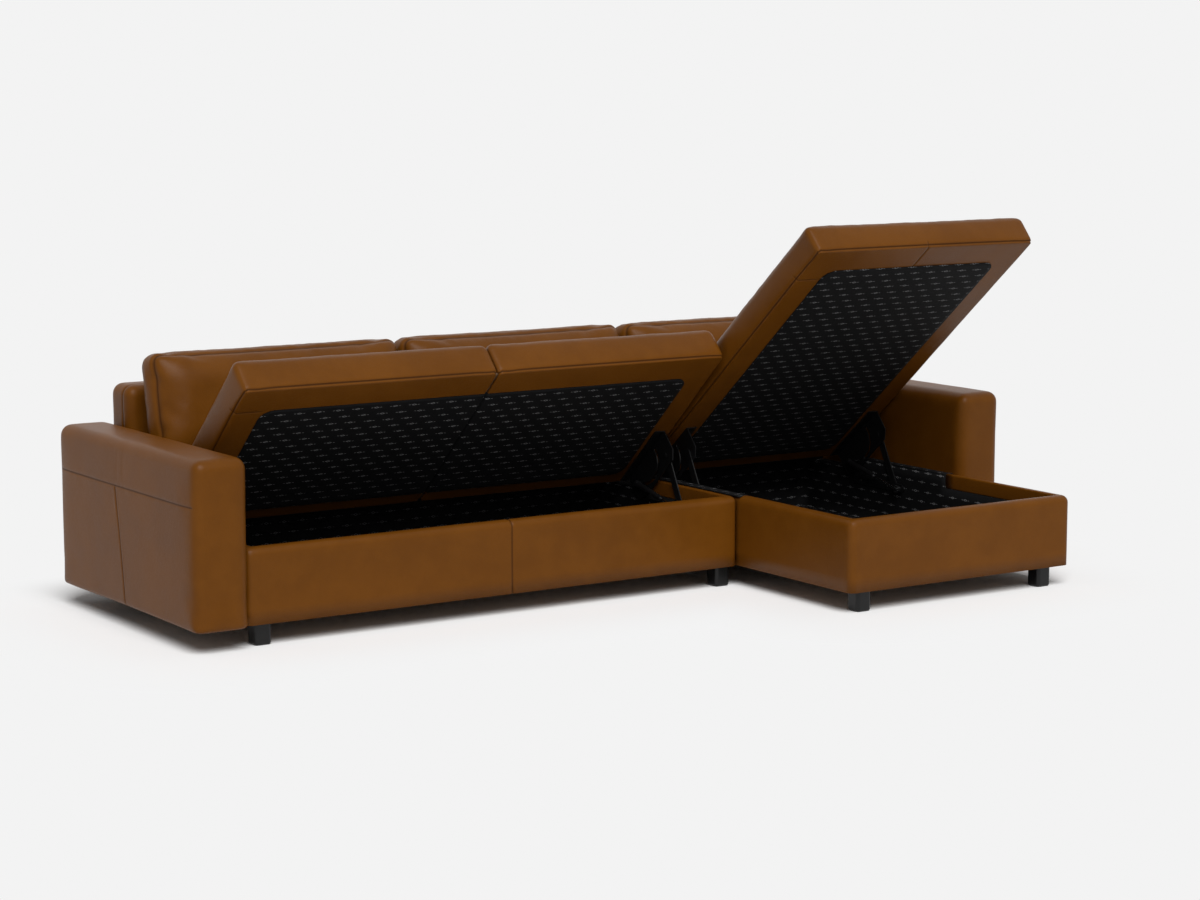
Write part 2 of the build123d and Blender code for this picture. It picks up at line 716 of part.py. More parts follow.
def pin(x, inward, point, radius, start, end, head):
    """A round pin across the layers of a lifting gear, with a head at its inner end."""
    with BuildSketch(Plane.YZ.offset(x + inward * start)) as shank:
        with Locations(yz(point)):
            Circle(radius)
    extrude(shank.sketch, amount=inward * (end - start))
    with BuildSketch(Plane.YZ.offset(x + inward * end)) as cap:
        with Locations(yz(point)):
            Circle(head)
    extrude(cap.sketch, amount=inward * pin_head_height)


def spring_plane(lift, x):
    """The plane at the post whose Z runs along the open gas spring."""
    heading = lift.spring(0)[1]
    dy, dz = turned((1, 0), heading)
    return Plane(origin=(x, *yz(roller_post)), x_dir=(1, 0, 0), z_dir=(0, dy, dz))


def eye(x, point, outer, bore):
    """A gas spring's eye across the pin at a point."""
    with BuildSketch(Plane.YZ.offset(x - eye_width / 2)) as ring:
        with Locations(yz(point)):
            Circle(outer)
    extrude(ring.sketch, amount=eye_width)
    with BuildSketch(Plane.YZ.offset(x - eye_width / 2)) as hole:
        with Locations(yz(point)):
            Circle(bore)
    extrude(hole.sketch, amount=eye_width, mode=Mode.SUBTRACT)


gears = (
    ("seat", seat_lift, seat_x0 + wall, seat_x1 - wall),
    ("chaise", chaise_lift, chaise_x0 + wall, chaise_x1 - wall),
)
for module, lift, wall_x0, wall_x1 in gears:
    hands = (("left", wall_x0, 1), ("right", wall_x1, -1))
    eye_outer = spring_layer + eye_width / 2 + layer_gap
    for side, x, inward in hands:
        save_base_bracket(module, side, x, inward)
        save_link(module, side, lift, x, inward)
        save_lid_plate(module, side, lift, x, inward)

    with BuildPart() as fixed_pins:
        for side, x, inward in hands:
            pin(x, inward, link_pivot, pivot_radius, 0, plate_layer, pin_head_radius)
            pin(x, inward, roller_post, pivot_radius, 0, eye_outer, pin_head_radius)
    save(fixed_pins, f"{module}_fixed_pins")

    with BuildPart() as link_pins:
        for side, x, inward in hands:
            pin(x, inward, lift.opened, pivot_radius, link_layer, lid_pin_end, pin_head_radius)
            pin(x, inward, lift.crank_pin(0), crank_pin_radius, link_layer, eye_outer, pin_head_radius)
    save(link_pins, f"{module}_link_pins")

    open_length, closed_length = lift.spring(0)[0], lift.spring(1)[0]
    rod_end = open_length - closed_length + rod_setback
    eye_bore = crank_pin_radius + lift.eye_mismatch() + eye_play

    with BuildPart() as gas_cylinders:
        for side, x, inward in hands:
            middle_x = x + inward * spring_layer
            plane = spring_plane(lift, middle_x)
            with BuildSketch(plane.offset(pivot_radius + eye_wall / 2)):
                Circle(rod_radius)
            extrude(amount=barrel_start - pivot_radius - eye_wall / 2)
            with BuildSketch(plane.offset(barrel_start)):
                Circle(barrel_radius)
            extrude(amount=barrel_length)
            with BuildSketch(plane.offset(barrel_start + barrel_cap)):
                Circle(barrel_bore_radius)
            extrude(amount=barrel_length - 2 * barrel_cap, mode=Mode.SUBTRACT)
            with BuildSketch(plane.offset(barrel_start + barrel_length - barrel_cap)):
                Circle(rod_radius + running_clearance)
            extrude(amount=barrel_cap, mode=Mode.SUBTRACT)
            outer = pivot_radius + eye_wall
            eye(middle_x, roller_post, outer, pivot_radius + running_clearance)
    save(gas_cylinders, f"{module}_gas_cylinders")

    with BuildPart() as gas_rods:
        for side, x, inward in hands:
            middle_x = x + inward * spring_layer
            plane = spring_plane(lift, middle_x)
            with BuildSketch(plane.offset(rod_end)):
                Circle(rod_radius)
            extrude(amount=open_length - eye_bore - rod_end)
            with BuildSketch(plane.offset(rod_end)):
                Circle(barrel_bore_radius - piston_clearance)
            extrude(amount=piston_length)
            eye(middle_x, lift.crank_pin(0), eye_bore + eye_wall, eye_bore)
    save(gas_rods, f"{module}_gas_rods")

with BuildPart() as bracket_screws:
    for module, lift, wall_x0, wall_x1 in gears:
        for x, inward in ((wall_x0, 1), (wall_x1, -1)):
            for y, z in wall_screws():
                with BuildSketch(Plane.YZ.offset(x + inward * steel_thickness)):
                    with Locations((y, z)):
                        Circle(bracket_screw_head - bracket_screw_clearance)
                extrude(amount=-inward * pin_head_height)
                with BuildSketch(Plane.YZ.offset(x + inward * steel_thickness)):
                    with Locations((y, z)):
                        Circle(bracket_screw_radius)
                extrude(amount=-inward * (bracket_screw_length - bracket_screw_tip_gap))
save(bracket_screws, "bracket_screws")

seat_halves = seam_halves(seat_lid_x0, seat_lid_x1, [split_x])
seat_cushions = [(f"seat_cushion_{name}", *span) for name, span in zip(("left", "right"), seat_halves)]
save_lid("seat", seat_lift, seat_lid_x0, seat_lid_x1, front_y, seat_cushions)
chaise_cushions = [("chaise_cushion", chaise_lid_x0, chaise_lid_x1)]
save_lid("chaise", chaise_lift, chaise_lid_x0, chaise_lid_x1, chaise_front_y, chaise_cushions)
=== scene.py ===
"""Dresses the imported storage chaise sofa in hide, lining cloth, painted steel and timber.

Every size is in metres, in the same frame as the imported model: +Z up, the front faces -Y.
"""
import json
import logging
from dataclasses import dataclass, field
from enum import Enum, IntEnum
from math import copysign, cos, exp, hypot, pi, radians, sin
from typing import Any, Callable, Sequence

import bmesh
import bpy
from mathutils import Matrix, Vector, noise


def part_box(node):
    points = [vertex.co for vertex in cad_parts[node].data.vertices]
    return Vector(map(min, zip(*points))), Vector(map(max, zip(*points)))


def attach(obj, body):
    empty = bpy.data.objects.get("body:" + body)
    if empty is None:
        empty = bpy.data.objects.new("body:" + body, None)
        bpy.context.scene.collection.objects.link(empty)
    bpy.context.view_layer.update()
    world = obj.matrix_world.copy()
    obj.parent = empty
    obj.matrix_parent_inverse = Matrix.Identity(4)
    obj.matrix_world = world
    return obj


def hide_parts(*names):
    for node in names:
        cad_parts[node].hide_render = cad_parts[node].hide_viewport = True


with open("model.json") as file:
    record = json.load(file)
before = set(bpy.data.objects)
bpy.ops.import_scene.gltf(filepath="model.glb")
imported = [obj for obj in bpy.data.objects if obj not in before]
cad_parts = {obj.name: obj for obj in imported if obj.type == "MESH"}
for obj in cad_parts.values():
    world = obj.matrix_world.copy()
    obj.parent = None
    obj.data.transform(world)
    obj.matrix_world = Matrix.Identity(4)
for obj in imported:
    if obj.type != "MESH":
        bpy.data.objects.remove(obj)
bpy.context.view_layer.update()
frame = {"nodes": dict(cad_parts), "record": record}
LOG = logging.getLogger("sofa")
SEAM_AND_SHADE = "seam"
FOOT = "foot"
CLOTH_MAP = "cloth"
BASE = "sofa_base"
NOWHERE = 1.0
SAME = 1e-4
EDGE_SHARES = (0.0, 0.3, 0.65, 1.0)
MARK_SPREAD = (-0.009, -0.004, 0.0, 0.004, 0.009)
LEAST_STEP = 0.0025
SEAM_REACH = 6.0
LINE_SHARPNESS = 2.2
RIPPLE_AT = 2.0
RIPPLE_WIDTH = 1.8
FOLD_SCALE = 38.0
LUMPS = ((5.5, 0.8), (13.0, 0.5))
STUFFING_FRAMES = 20
STUFFING = {
    "vertex_group_mass": "held",
    "use_pressure": True,
    "uniform_pressure_force": 4.0,
    "quality": 4,
    "mass": 0.4,
    "tension_stiffness": 25.0,
    "compression_stiffness": 12.0,
    "shear_stiffness": 8.0,
    "bending_stiffness": 1.5,
}
Colour = tuple[float, float, float]


class Ray(IntEnum):
    """Outputs of the Light Path node, by number."""

    CAMERA = 0
    GLOSSY = 3
    TRANSMISSION = 6


class Mapping(Enum):
    """Where a cloth's motif takes its place from."""

    BOX = "box"
    MAP = "map"


class Sock:
    """A shader socket whose arithmetic adds Math nodes."""

    def __init__(self, kit: "Nodes", socket: Any) -> None:
        """Keep the socket and the node tree that it belongs to."""
        self.kit = kit
        self.socket = socket

    def math(self, operation: str, *others: Any) -> "Sock":
        """Add one Math node.

        Args:
            operation: The Math node's operation.
            others: Its further inputs, sockets or numbers.

        Returns:
            The node's value.
        """
        inputs = dict(enumerate((self, *others)))
        return self.kit.node("ShaderNodeMath", inputs, operation=operation)[0]

    def __add__(self, other: Any) -> "Sock":
        """Self plus other."""
        return self.math("ADD", other)

    __radd__ = __add__

    def __sub__(self, other: Any) -> "Sock":
        """Self less other."""
        return self.math("SUBTRACT", other)

    def __rsub__(self, other: float) -> "Sock":
        """Other less self."""
        return (self * -1.0) + other

    def __mul__(self, other: Any) -> "Sock":
        """Self times other."""
        return self.math("MULTIPLY", other)

    def __truediv__(self, other: Any) -> "Sock":
        """Self over other."""
        return self.math("DIVIDE", other)

    def __lt__(self, other: Any) -> "Sock":
        """One where self is below other."""
        return self.math("LESS_THAN", other)

    def __gt__(self, other: Any) -> "Sock":
        """One where self is above other."""
        return self.math("GREATER_THAN", other)

    def __abs__(self) -> "Sock":
        """The size of self."""
        return self.math("ABSOLUTE")

    def ramp(self, low: float, high: float) -> "Sock":
        """Self from low to high as 0 to 1, smoothly, and held there outside."""
        inputs = {0: self, 1: low, 2: high, 3: 0.0, 4: 1.0}
        return self.kit.node("ShaderNodeMapRange", inputs, interpolation_type="SMOOTHSTEP")[0]


class Nodes:
    """A node tree that is built up from sockets."""

    def __init__(self, tree: bpy.types.NodeTree) -> None:
        """Keep the tree."""
        self.tree = tree

    def node(self, kind: str, inputs: dict[Any, Any] | None = None, **settings: Any) -> list[Sock]:
        """Add a node.

        Args:
            kind: Its type.
            inputs: Values or sockets, by the input's name or number.
            settings: Its attributes, which are set first.

        Returns:
            Its outputs.
        """
        made = self.tree.nodes.new(kind)
        for key, value in settings.items():
            setattr(made, key, value)
        for key, value in (inputs or {}).items():
            self.feed(made.inputs[key], value)
        return [Sock(self, out) for out in made.outputs]

    def feed(self, socket: Any, value: Any) -> None:
        """Link a socket or set its value.

        Args:
            socket: The input to feed.
            value: A Sock to link, or a plain value.
        """
        if isinstance(value, Sock):
            self.tree.links.new(value.socket, socket)
        else:
            socket.default_value = value

    def seen(self) -> Sock:
        """One for the rays that see the backdrop: camera, glossy and transmission rays."""
        path = self.node("ShaderNodeLightPath")
        return path[Ray.CAMERA].math("MAXIMUM", path[Ray.GLOSSY]).math("MAXIMUM", path[Ray.TRANSMISSION])

    def show(self, output: str, share: Sock, first: Sock, second: Sock) -> None:
        """Send a mix of two shaders to an output node.

        Args:
            output: The output node's name.
            share: The second shader's share.
            first: The first shader.
            second: The second shader.
        """
        mixed = self.node("ShaderNodeMixShader", {0: share, 1: first, 2: second})[0]
        self.feed(self.tree.nodes[output].inputs[0], mixed)


class Shader(Nodes):
    """A node material around one Principled shader."""

    def __init__(self, name: str) -> None:
        """Make the material and find its shader."""
        self.material = bpy.data.materials.new(name)
        self.material.use_nodes = True
        super().__init__(self.material.node_tree)
        self.principled = self.tree.nodes["Principled BSDF"]

    def set(self, **inputs: Any) -> None:
        """Feed the Principled shader.

        Args:
            inputs: Values or sockets, with underscores for the spaces in the inputs' names.
        """
        for key, value in inputs.items():
            title = key.replace("_", " ").title().replace("Ior", "IOR")
            self.feed(self.principled.inputs[title], value)

    def place(self) -> Sock:
        """The piece's own coordinates."""
        return self.node("ShaderNodeTexCoord")[3]

    def noise(self, where: Sock, scale: float, detail: float = 3.0, rough: float = 0.55) -> Sock:
        """Smooth noise from 0 to 1."""
        inputs = {"Vector": where, "Scale": scale, "Detail": detail, "Roughness": rough}
        return self.node("ShaderNodeTexNoise", inputs)[0]

    def stretch(self, where: Sock, scale: tuple[float, float, float]) -> Sock:
        """Coordinates scaled along each axis."""
        return self.node("ShaderNodeMapping", {"Vector": where, "Scale": scale})[0]

    def axes(self, where: Sock) -> list[Sock]:
        """The three numbers of a vector."""
        return self.node("ShaderNodeSeparateXYZ", {0: where})

    def blend(self, share: Sock, first: Any, second: Any) -> Sock:
        """Mix two colours.

        Args:
            share: The second colour's share.
            first: The first colour or its socket.
            second: The second colour or its socket.

        Returns:
            The mixed colour.
        """
        pair = [(*c, 1.0) if isinstance(c, tuple) else c for c in (first, second)]
        inputs = {0: share, 6: pair[0], 7: pair[1]}
        return self.node("ShaderNodeMix", inputs, data_type="RGBA", clamp_factor=True)[2]

    def bump(self, height: Sock, strength: float, depth: float) -> Sock:
        """A bump normal from a height of 0 to 1."""
        inputs = {"Height": height, "Strength": strength, "Distance": depth}
        return self.node("ShaderNodeBump", inputs)[0]


@dataclass(frozen=True)
class Hide:
    """Semi-gloss pebbled hide with darker seams and painted shade where two cushions press together.

    Attributes:
        light: Its dye where it is lightest.
        deep: Its dye where it is deepest and in its pores.
        seam: Its colour along seams, and painted shade on cushion sides pressed against a neighbour.
        pebble: Pebbles in a metre; crease, wear and patch are the scales of coarser marks.
        sheen: Its specular level.
        rough: Its mean roughness.
        relief: Strength and depth of its bump.
    """

    light: Colour = (0.126, 0.0424, 0.0034)
    deep: Colour = (0.107, 0.0352, 0.0026)
    seam: Colour = (0.026, 0.0075, 0.0010)
    pebble: float = 430.0
    crease: float = 46.0
    wear: float = 21.0
    patch: float = 5.0
    sheen: float = 0.10
    rough: float = 0.38
    relief: tuple[float, float] = (0.42, 0.0010)

    def material(self) -> bpy.types.Material:
        """Make the hide.

        Returns:
            Its material.
        """
        kit = Shader("hide")
        where = kit.place()
        spots = {"Vector": where, "Scale": self.pebble}
        cells = kit.node("ShaderNodeTexVoronoi", spots, feature="SMOOTH_F1")[0]
        fine = kit.noise(where, self.pebble * 2.2, 2.0)
        crease = kit.noise(kit.stretch(where, (1.0, 1.6, 1.3)), self.crease, 5.0, 0.62)
        cloud = kit.noise(where, self.patch, 4.0)
        worn = kit.noise(where, self.wear, 3.0)
        seam = kit.node("ShaderNodeAttribute", attribute_name=SEAM_AND_SHADE)[2]
        grain = cells * 0.75 + fine * 0.25
        tone = cloud * 0.7 + worn * 0.3
        dyed = kit.blend(tone.ramp(0.36, 0.66), self.deep, self.light)
        pores = kit.blend(grain.ramp(0.34, 0.62) * 0.22, dyed, self.deep)
        # The seam attribute darkens sewn seams, and is also painted shade on the flat sides where two lid
        # cushions press together.
        colour = kit.blend(seam * 0.85, pores, self.seam)
        folds = abs(crease - 0.5).ramp(0.0, 0.05)
        height = (1.0 - grain) * 0.6 + folds * 0.25 + worn * 0.15
        rough = self.rough + (grain - 0.5) * 0.14 + (tone - 0.5) * 0.16 + seam * 0.18
        kit.set(base_color=colour, roughness=rough, normal=kit.bump(height, *self.relief))
        kit.set(specular_ior_level=self.sheen)
        return kit.material


@dataclass(frozen=True)
class LiningCloth:
    """Black woven cloth with rows of small grey lozenges, each with a tail on both sides.

    Attributes:
        mapping: Where the motif takes its place from.
        ground: The cloth's colour.
        mark: The lozenges' colour.
        column: Their spacing along a row.
        row: The spacing of the rows.
        half_length: Half a lozenge's length.
        half_height: Half its height.
        tail_at: Where its tails are centred.
        tail_length: Half a tail's length.
        tail_height: Half its height.
        thread: The spacing of the weave.
        sheen: The specular level.
        steep: How far a normal leans before the motif changes its plane.
    """

    mapping: Mapping
    ground: Colour = (0.0040, 0.0040, 0.0043)
    mark: Colour = (0.25, 0.25, 0.255)
    column: float = 0.066
    row: float = 0.034
    half_length: float = 0.010
    half_height: float = 0.0042
    tail_at: float = 0.0155
    tail_length: float = 0.0030
    tail_height: float = 0.0009
    thread: float = 0.0016
    sheen: float = 0.12
    steep: float = 0.7

    def _flat(self, kit: Shader) -> tuple[Sock, Sock]:
        """Find the place on the cloth.

        Args:
            kit: The cloth's shader.

        Returns:
            Metres across and along the cloth.
        """
        if self.mapping is Mapping.MAP:
            x, y, _ = kit.axes(kit.node("ShaderNodeUVMap", uv_map=CLOTH_MAP)[0])
            return x, y
        x, y, z = kit.axes(kit.place())
        nx, _, nz = kit.axes(kit.node("ShaderNodeNewGeometry")[3])
        level = abs(nz) > self.steep
        side = abs(nx) > self.steep
        return x + side * (y - x), z + level * (y - z)

    def material(self) -> bpy.types.Material:
        """Make the cloth.

        Returns:
            Its material.
        """
        kit = Shader(f"lining_{self.mapping.value}")
        u, v = self._flat(kit)
        line = v / self.row
        odd = line.math("FLOOR").math("MODULO", 2.0)
        along = u / self.column + abs(odd) * 0.5
        du = abs(along.math("FRACT") - 0.5) * self.column
        dv = abs(line.math("FRACT") - 0.5) * self.row
        lozenge = du / self.half_length + dv / self.half_height
        rim = abs(lozenge - 0.78).ramp(0.28, 0.14)
        tails = (dv < self.tail_height) * (abs(du - self.tail_at) < self.tail_length)
        warp, weft = ((way * (2 * pi / self.thread)).math("SINE") for way in (u, v))
        weave = (warp * weft) * 0.5 + 0.5
        fuzz = kit.noise(kit.place(), 260.0, 3.0)
        mark = (rim + tails).math("MINIMUM", 1.0) * (0.55 + weave * 0.45)
        dusty = kit.blend(fuzz.ramp(0.4, 0.75) * 0.6, self.ground, tuple(2.0 * c for c in self.ground))
        rough = 0.78 + (weave - 0.5) * 0.14
        kit.set(base_color=kit.blend(mark, dusty, self.mark), roughness=rough)
        kit.set(normal=kit.bump(weave * 0.8 + fuzz * 0.2, 0.35, 0.0005))
        kit.set(specular_ior_level=self.sheen)
        return kit.material


@dataclass(frozen=True)
class Paint:
    """Satin paint or lacquer over metal or wood, rubbed a little."""

    name: str
    colour: Colour
    rubbed: Colour
    rough: float
    sheen: float = 0.30

    def material(self) -> bpy.types.Material:
        """Make the paint.

        Returns:
            Its material.
        """
        kit = Shader(self.name)
        where = kit.place()
        peel = kit.noise(where, 340.0, 2.0)
        scuff = kit.noise(kit.stretch(where, (1.0, 1.0, 6.0)), 38.0, 5.0, 0.7)
        rub = scuff.ramp(0.60, 0.78)
        kit.set(base_color=kit.blend(rub * 0.5, self.colour, self.rubbed))
        kit.set(roughness=self.rough + (peel - 0.5) * 0.12 + rub * 0.12)
        kit.set(normal=kit.bump(peel, 0.12, 0.0004))
        kit.set(specular_ior_level=self.sheen)
        return kit.material


@dataclass(frozen=True)
class Steel:
    """Bare bright steel, polished or zinc plated."""

    name: str
    bright: Colour
    dull: Colour
    rough: float

    def material(self) -> bpy.types.Material:
        """Make the steel.

        Returns:
            Its material.
        """
        kit = Shader(self.name)
        where = kit.place()
        bloom = kit.noise(where, 90.0, 4.0)
        lines = kit.noise(kit.stretch(where, (1.0, 12.0, 12.0)), 160.0, 3.0)
        kit.set(base_color=kit.blend(bloom.ramp(0.35, 0.7), self.bright, self.dull), metallic=1.0)
        kit.set(roughness=self.rough + (bloom - 0.5) * 0.16 + (lines - 0.5) * 0.08)
        kit.set(normal=kit.bump(lines, 0.08, 0.0002))
        return kit.material


@dataclass(frozen=True)
class Plywood:
    """Dark stained plywood with long grain along X."""

    pale: Colour = (0.150, 0.086, 0.042)
    dark: Colour = (0.072, 0.038, 0.017)

    def material(self) -> bpy.types.Material:
        """Make the plywood.

        Returns:
            Its material.
        """
        kit = Shader("plywood")
        where = kit.place()
        drift = kit.noise(kit.stretch(where, (0.35, 2.2, 2.2)), 3.2, 4.0)
        grain = kit.noise(kit.stretch(where, (1.0, 18.0, 18.0)), 7.0, 6.0, 0.7)
        pores = kit.noise(kit.stretch(where, (3.0, 60.0, 60.0)), 22.0, 2.0)
        rings = ((drift * 26.0).math("SINE") * 0.5 + 0.5) * 0.45 + grain * 0.55
        kit.set(base_color=kit.blend(rings.ramp(0.25, 0.85), self.pale, self.dark))
        kit.set(roughness=0.58 + (grain - 0.5) * 0.2)
        kit.set(normal=kit.bump(grain * 0.6 + pores * 0.4, 0.25, 0.0006))
        return kit.material


class Finishes:
    """The materials of the sofa, by the record's slots."""

    def __init__(self) -> None:
        """Make each material once."""
        self.hide = Hide().material()
        self.boxed_cloth = LiningCloth(Mapping.BOX).material()
        self.mapped_cloth = LiningCloth(Mapping.MAP).material()
        gear = Paint("gear_paint", (0.0045, 0.0045, 0.0048), (0.014, 0.014, 0.015), 0.40)
        leg = Paint("leg_lacquer", (0.0030, 0.0030, 0.0030), (0.010, 0.0095, 0.0095), 0.32)
        rod = Steel("rod_steel", (0.56, 0.56, 0.57), (0.42, 0.42, 0.44), 0.20)
        zinc = Steel("zinc_steel", (0.50, 0.49, 0.46), (0.36, 0.35, 0.33), 0.36)
        self.by_slot = {
            "leather": self.hide,
            "lining_cloth": self.boxed_cloth,
            "gear_steel": gear.material(),
            "rod_steel": rod.material(),
            "fastener_steel": zinc.material(),
            "timber": Plywood().material(),
            "leg_finish": leg.material(),
        }

    def dress_nodes(self) -> None:
        """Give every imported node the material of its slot."""
        for row in frame["record"]["subparts"]:
            node = frame["nodes"][row["node"]]
            node.data.materials.clear()
            node.data.materials.append(self.by_slot[row["material_slot"]])


class Lift:
    """How a lid that is modelled closed stands open, from its joints."""

    def __init__(self, module: str) -> None:
        """Read the lid's joints from the record.

        Args:
            module: The lid's module, seat or chaise.
        """
        behaviour = frame["record"]["behaviour"]
        joints = {j["name"]: j for j in behaviour["joints"]}
        ratios = {c["joint"]: c["ratio"] for c in behaviour["couplings"]}
        link = joints[f"{module}_lift"]
        hinge = joints[f"{module}_lid_hinge"]
        swing = radians(link["range_deg"][0])
        rise = -ratios[hinge["name"]] * swing - swing
        pivot, top = Vector(link["pos_m"]), Vector(hinge["pos_m"])
        closed_top = pivot + Matrix.Rotation(swing, 4, "X") @ (top - pivot)
        lower = Matrix.Translation(-closed_top)
        self.opened = Matrix.Translation(top) @ Matrix.Rotation(rise, 4, "X") @ lower
        self.body = f"{module}_lid"


def new_piece(name: str, bm: bmesh.types.BMesh, material: bpy.types.Material) -> bpy.types.Object:
    """Turn a bmesh into a smooth shaded object and free it.

    Args:
        name: The piece's name.
        bm: Its mesh.
        material: Its material.

    Returns:
        The linked object.
    """
    mesh = bpy.data.meshes.new(name)
    bm.to_mesh(mesh)
    bm.free()
    mesh.materials.append(material)
    for polygon in mesh.polygons:
        polygon.use_smooth = True
    piece = bpy.data.objects.new(name, mesh)
    bpy.context.scene.collection.objects.link(piece)
    return piece


def bake_modifiers(piece: bpy.types.Object) -> None:
    """Replace a piece's mesh by what its modifiers make of it.

    Args:
        piece: The piece, which is left without modifiers.
    """
    graph = bpy.context.evaluated_depsgraph_get()
    mesh = bpy.data.meshes.new_from_object(piece.evaluated_get(graph))
    piece.modifiers.clear()
    old = piece.data
    piece.data = mesh
    bpy.data.meshes.remove(old)


def thicken(piece: bpy.types.Object, thickness: float) -> None:
    """Give a skin its thickness, behind its faces.

    Args:
        piece: The skin.
        thickness: How thick it becomes.
    """
    solid = piece.modifiers.new("thickness", "SOLIDIFY")
    solid.thickness = thickness
    solid.offset = -1.0
    bake_modifiers(piece)


def settle(piece: bpy.types.Object, body: str, slot: str, *nodes: str) -> None:
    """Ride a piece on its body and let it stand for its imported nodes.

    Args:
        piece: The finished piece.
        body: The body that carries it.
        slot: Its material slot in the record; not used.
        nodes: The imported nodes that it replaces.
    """
    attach(piece, body)
    if nodes:
        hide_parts(*nodes)
    LOG.info("%s rides on %s, %d faces", piece.name, body, len(piece.data.polygons))


def lies_at(edge: bmesh.types.BMEdge, axis: int, place: float) -> bool:
    """Whether both ends of an edge are at one place along an axis."""
    return all(abs(v.co[axis] - place) < SAME for v in edge.verts)


def bell(away: float, width: float) -> float:
    """A smooth hump: 1 at no distance, falling off over a width."""
    return exp(-((away / width) ** 2))


@dataclass
class Seam:
    """A sewn line that draws a surface in.

    Attributes:
        distance: How far a point of the unplaced piece is from the line.
        depth: How far the line is drawn in.
        width: Half the width of the dip.
    """

    distance: Callable[[Vector], float]
    depth: float
    width: float


def rim_seam(low: Vector, high: Vector, height: float, inset: float, **sizes: float) -> Seam:
    """A seam all round a pad at one height and a little way in from its sides.

    Args:
        low: The pad's lowest corner.
        high: Its highest corner.
        height: The seam's height.
        inset: How far in it is.
        sizes: Its depth and width.

    Returns:
        The seam.
    """

    def distance(p: Vector) -> float:
        """How far a point is from the seam."""
        in_x, in_y = min(p.x - low.x, high.x - p.x), min(p.y - low.y, high.y - p.y)
        return hypot(p.z - height, min(in_x, in_y) - inset)

    return Seam(distance, **sizes)


def split_shade(plane: float, inward: float, width: float) -> Seam:
    """Painted shade along a pad's side where it is pressed flat by its neighbour.

    Args:
        plane: Where the side is held along X.
        inward: 1 where the pad lies to the right of it, -1 to the left.
        width: Half the width of the shade.

    Returns:
        A seam that paints shade on the side and draws nothing in.
    """
    return Seam(lambda p: max((p.x - plane) * inward, 0.0), depth=0.0, width=width)


def stations(start: float, end: float, step: float, edge: float, marks: Sequence[float] = ()) -> list[float]:
    """Places along one side of a pad, close together at its ends and around each mark.

    Args:
        start: Where the side starts.
        end: Where it ends.
        step: The widest spacing.
        edge: The width of the close spacing at both ends.
        marks: Where seams cross the side.

    Returns:
        The places in order.
    """
    near = [share * edge for share in EDGE_SHARES]
    places = [start + n for n in near] + [end - n for n in near]
    length = end - start - 2 * edge
    count = max(round(length / step), 1)
    places += [start + edge + length * n / count for n in range(count + 1)]
    places += [mark + away for mark in marks for away in MARK_SPREAD]
    kept = [start]
    for place in sorted(places):
        if kept[-1] + LEAST_STEP < place < end - LEAST_STEP:
            kept.append(place)
    return kept + [end]


def gridded_block(sides: Sequence[list[float]]) -> bmesh.types.BMesh:
    """A closed block of quads.

    Args:
        sides: Where its edge loops are along each axis.

    Returns:
        Its mesh.
    """
    bm = bmesh.new()
    bmesh.ops.create_cube(bm, size=1.0)
    for axis, places in enumerate(sides):
        along = [e for e in bm.edges if abs((e.verts[0].co - e.verts[1].co)[axis]) > 0.5]
        bmesh.ops.subdivide_edges(bm, edges=along, cuts=len(places) - 2, use_grid_fill=True)
    for vertex in bm.verts:
        for axis, places in enumerate(sides):
            step = round((vertex.co[axis] + 0.5) * (len(places) - 1))
            vertex.co[axis] = places[step]
    return bm


def cut_grid(bm: bmesh.types.BMesh, axis: int, places: Sequence[float]) -> None:
    """Cut a mesh across an axis.

    Args:
        bm: The mesh.
        axis: The axis, 0 to 2.
        places: Where the cuts are along it.
    """
    normal = Vector((0.0, 0.0, 0.0))
    normal[axis] = 1.0
    for place in places:
        geometry = bm.verts[:] + bm.edges[:] + bm.faces[:]
        bmesh.ops.bisect_plane(bm, geom=geometry, plane_co=normal * place, plane_no=normal, dist=1e-5)


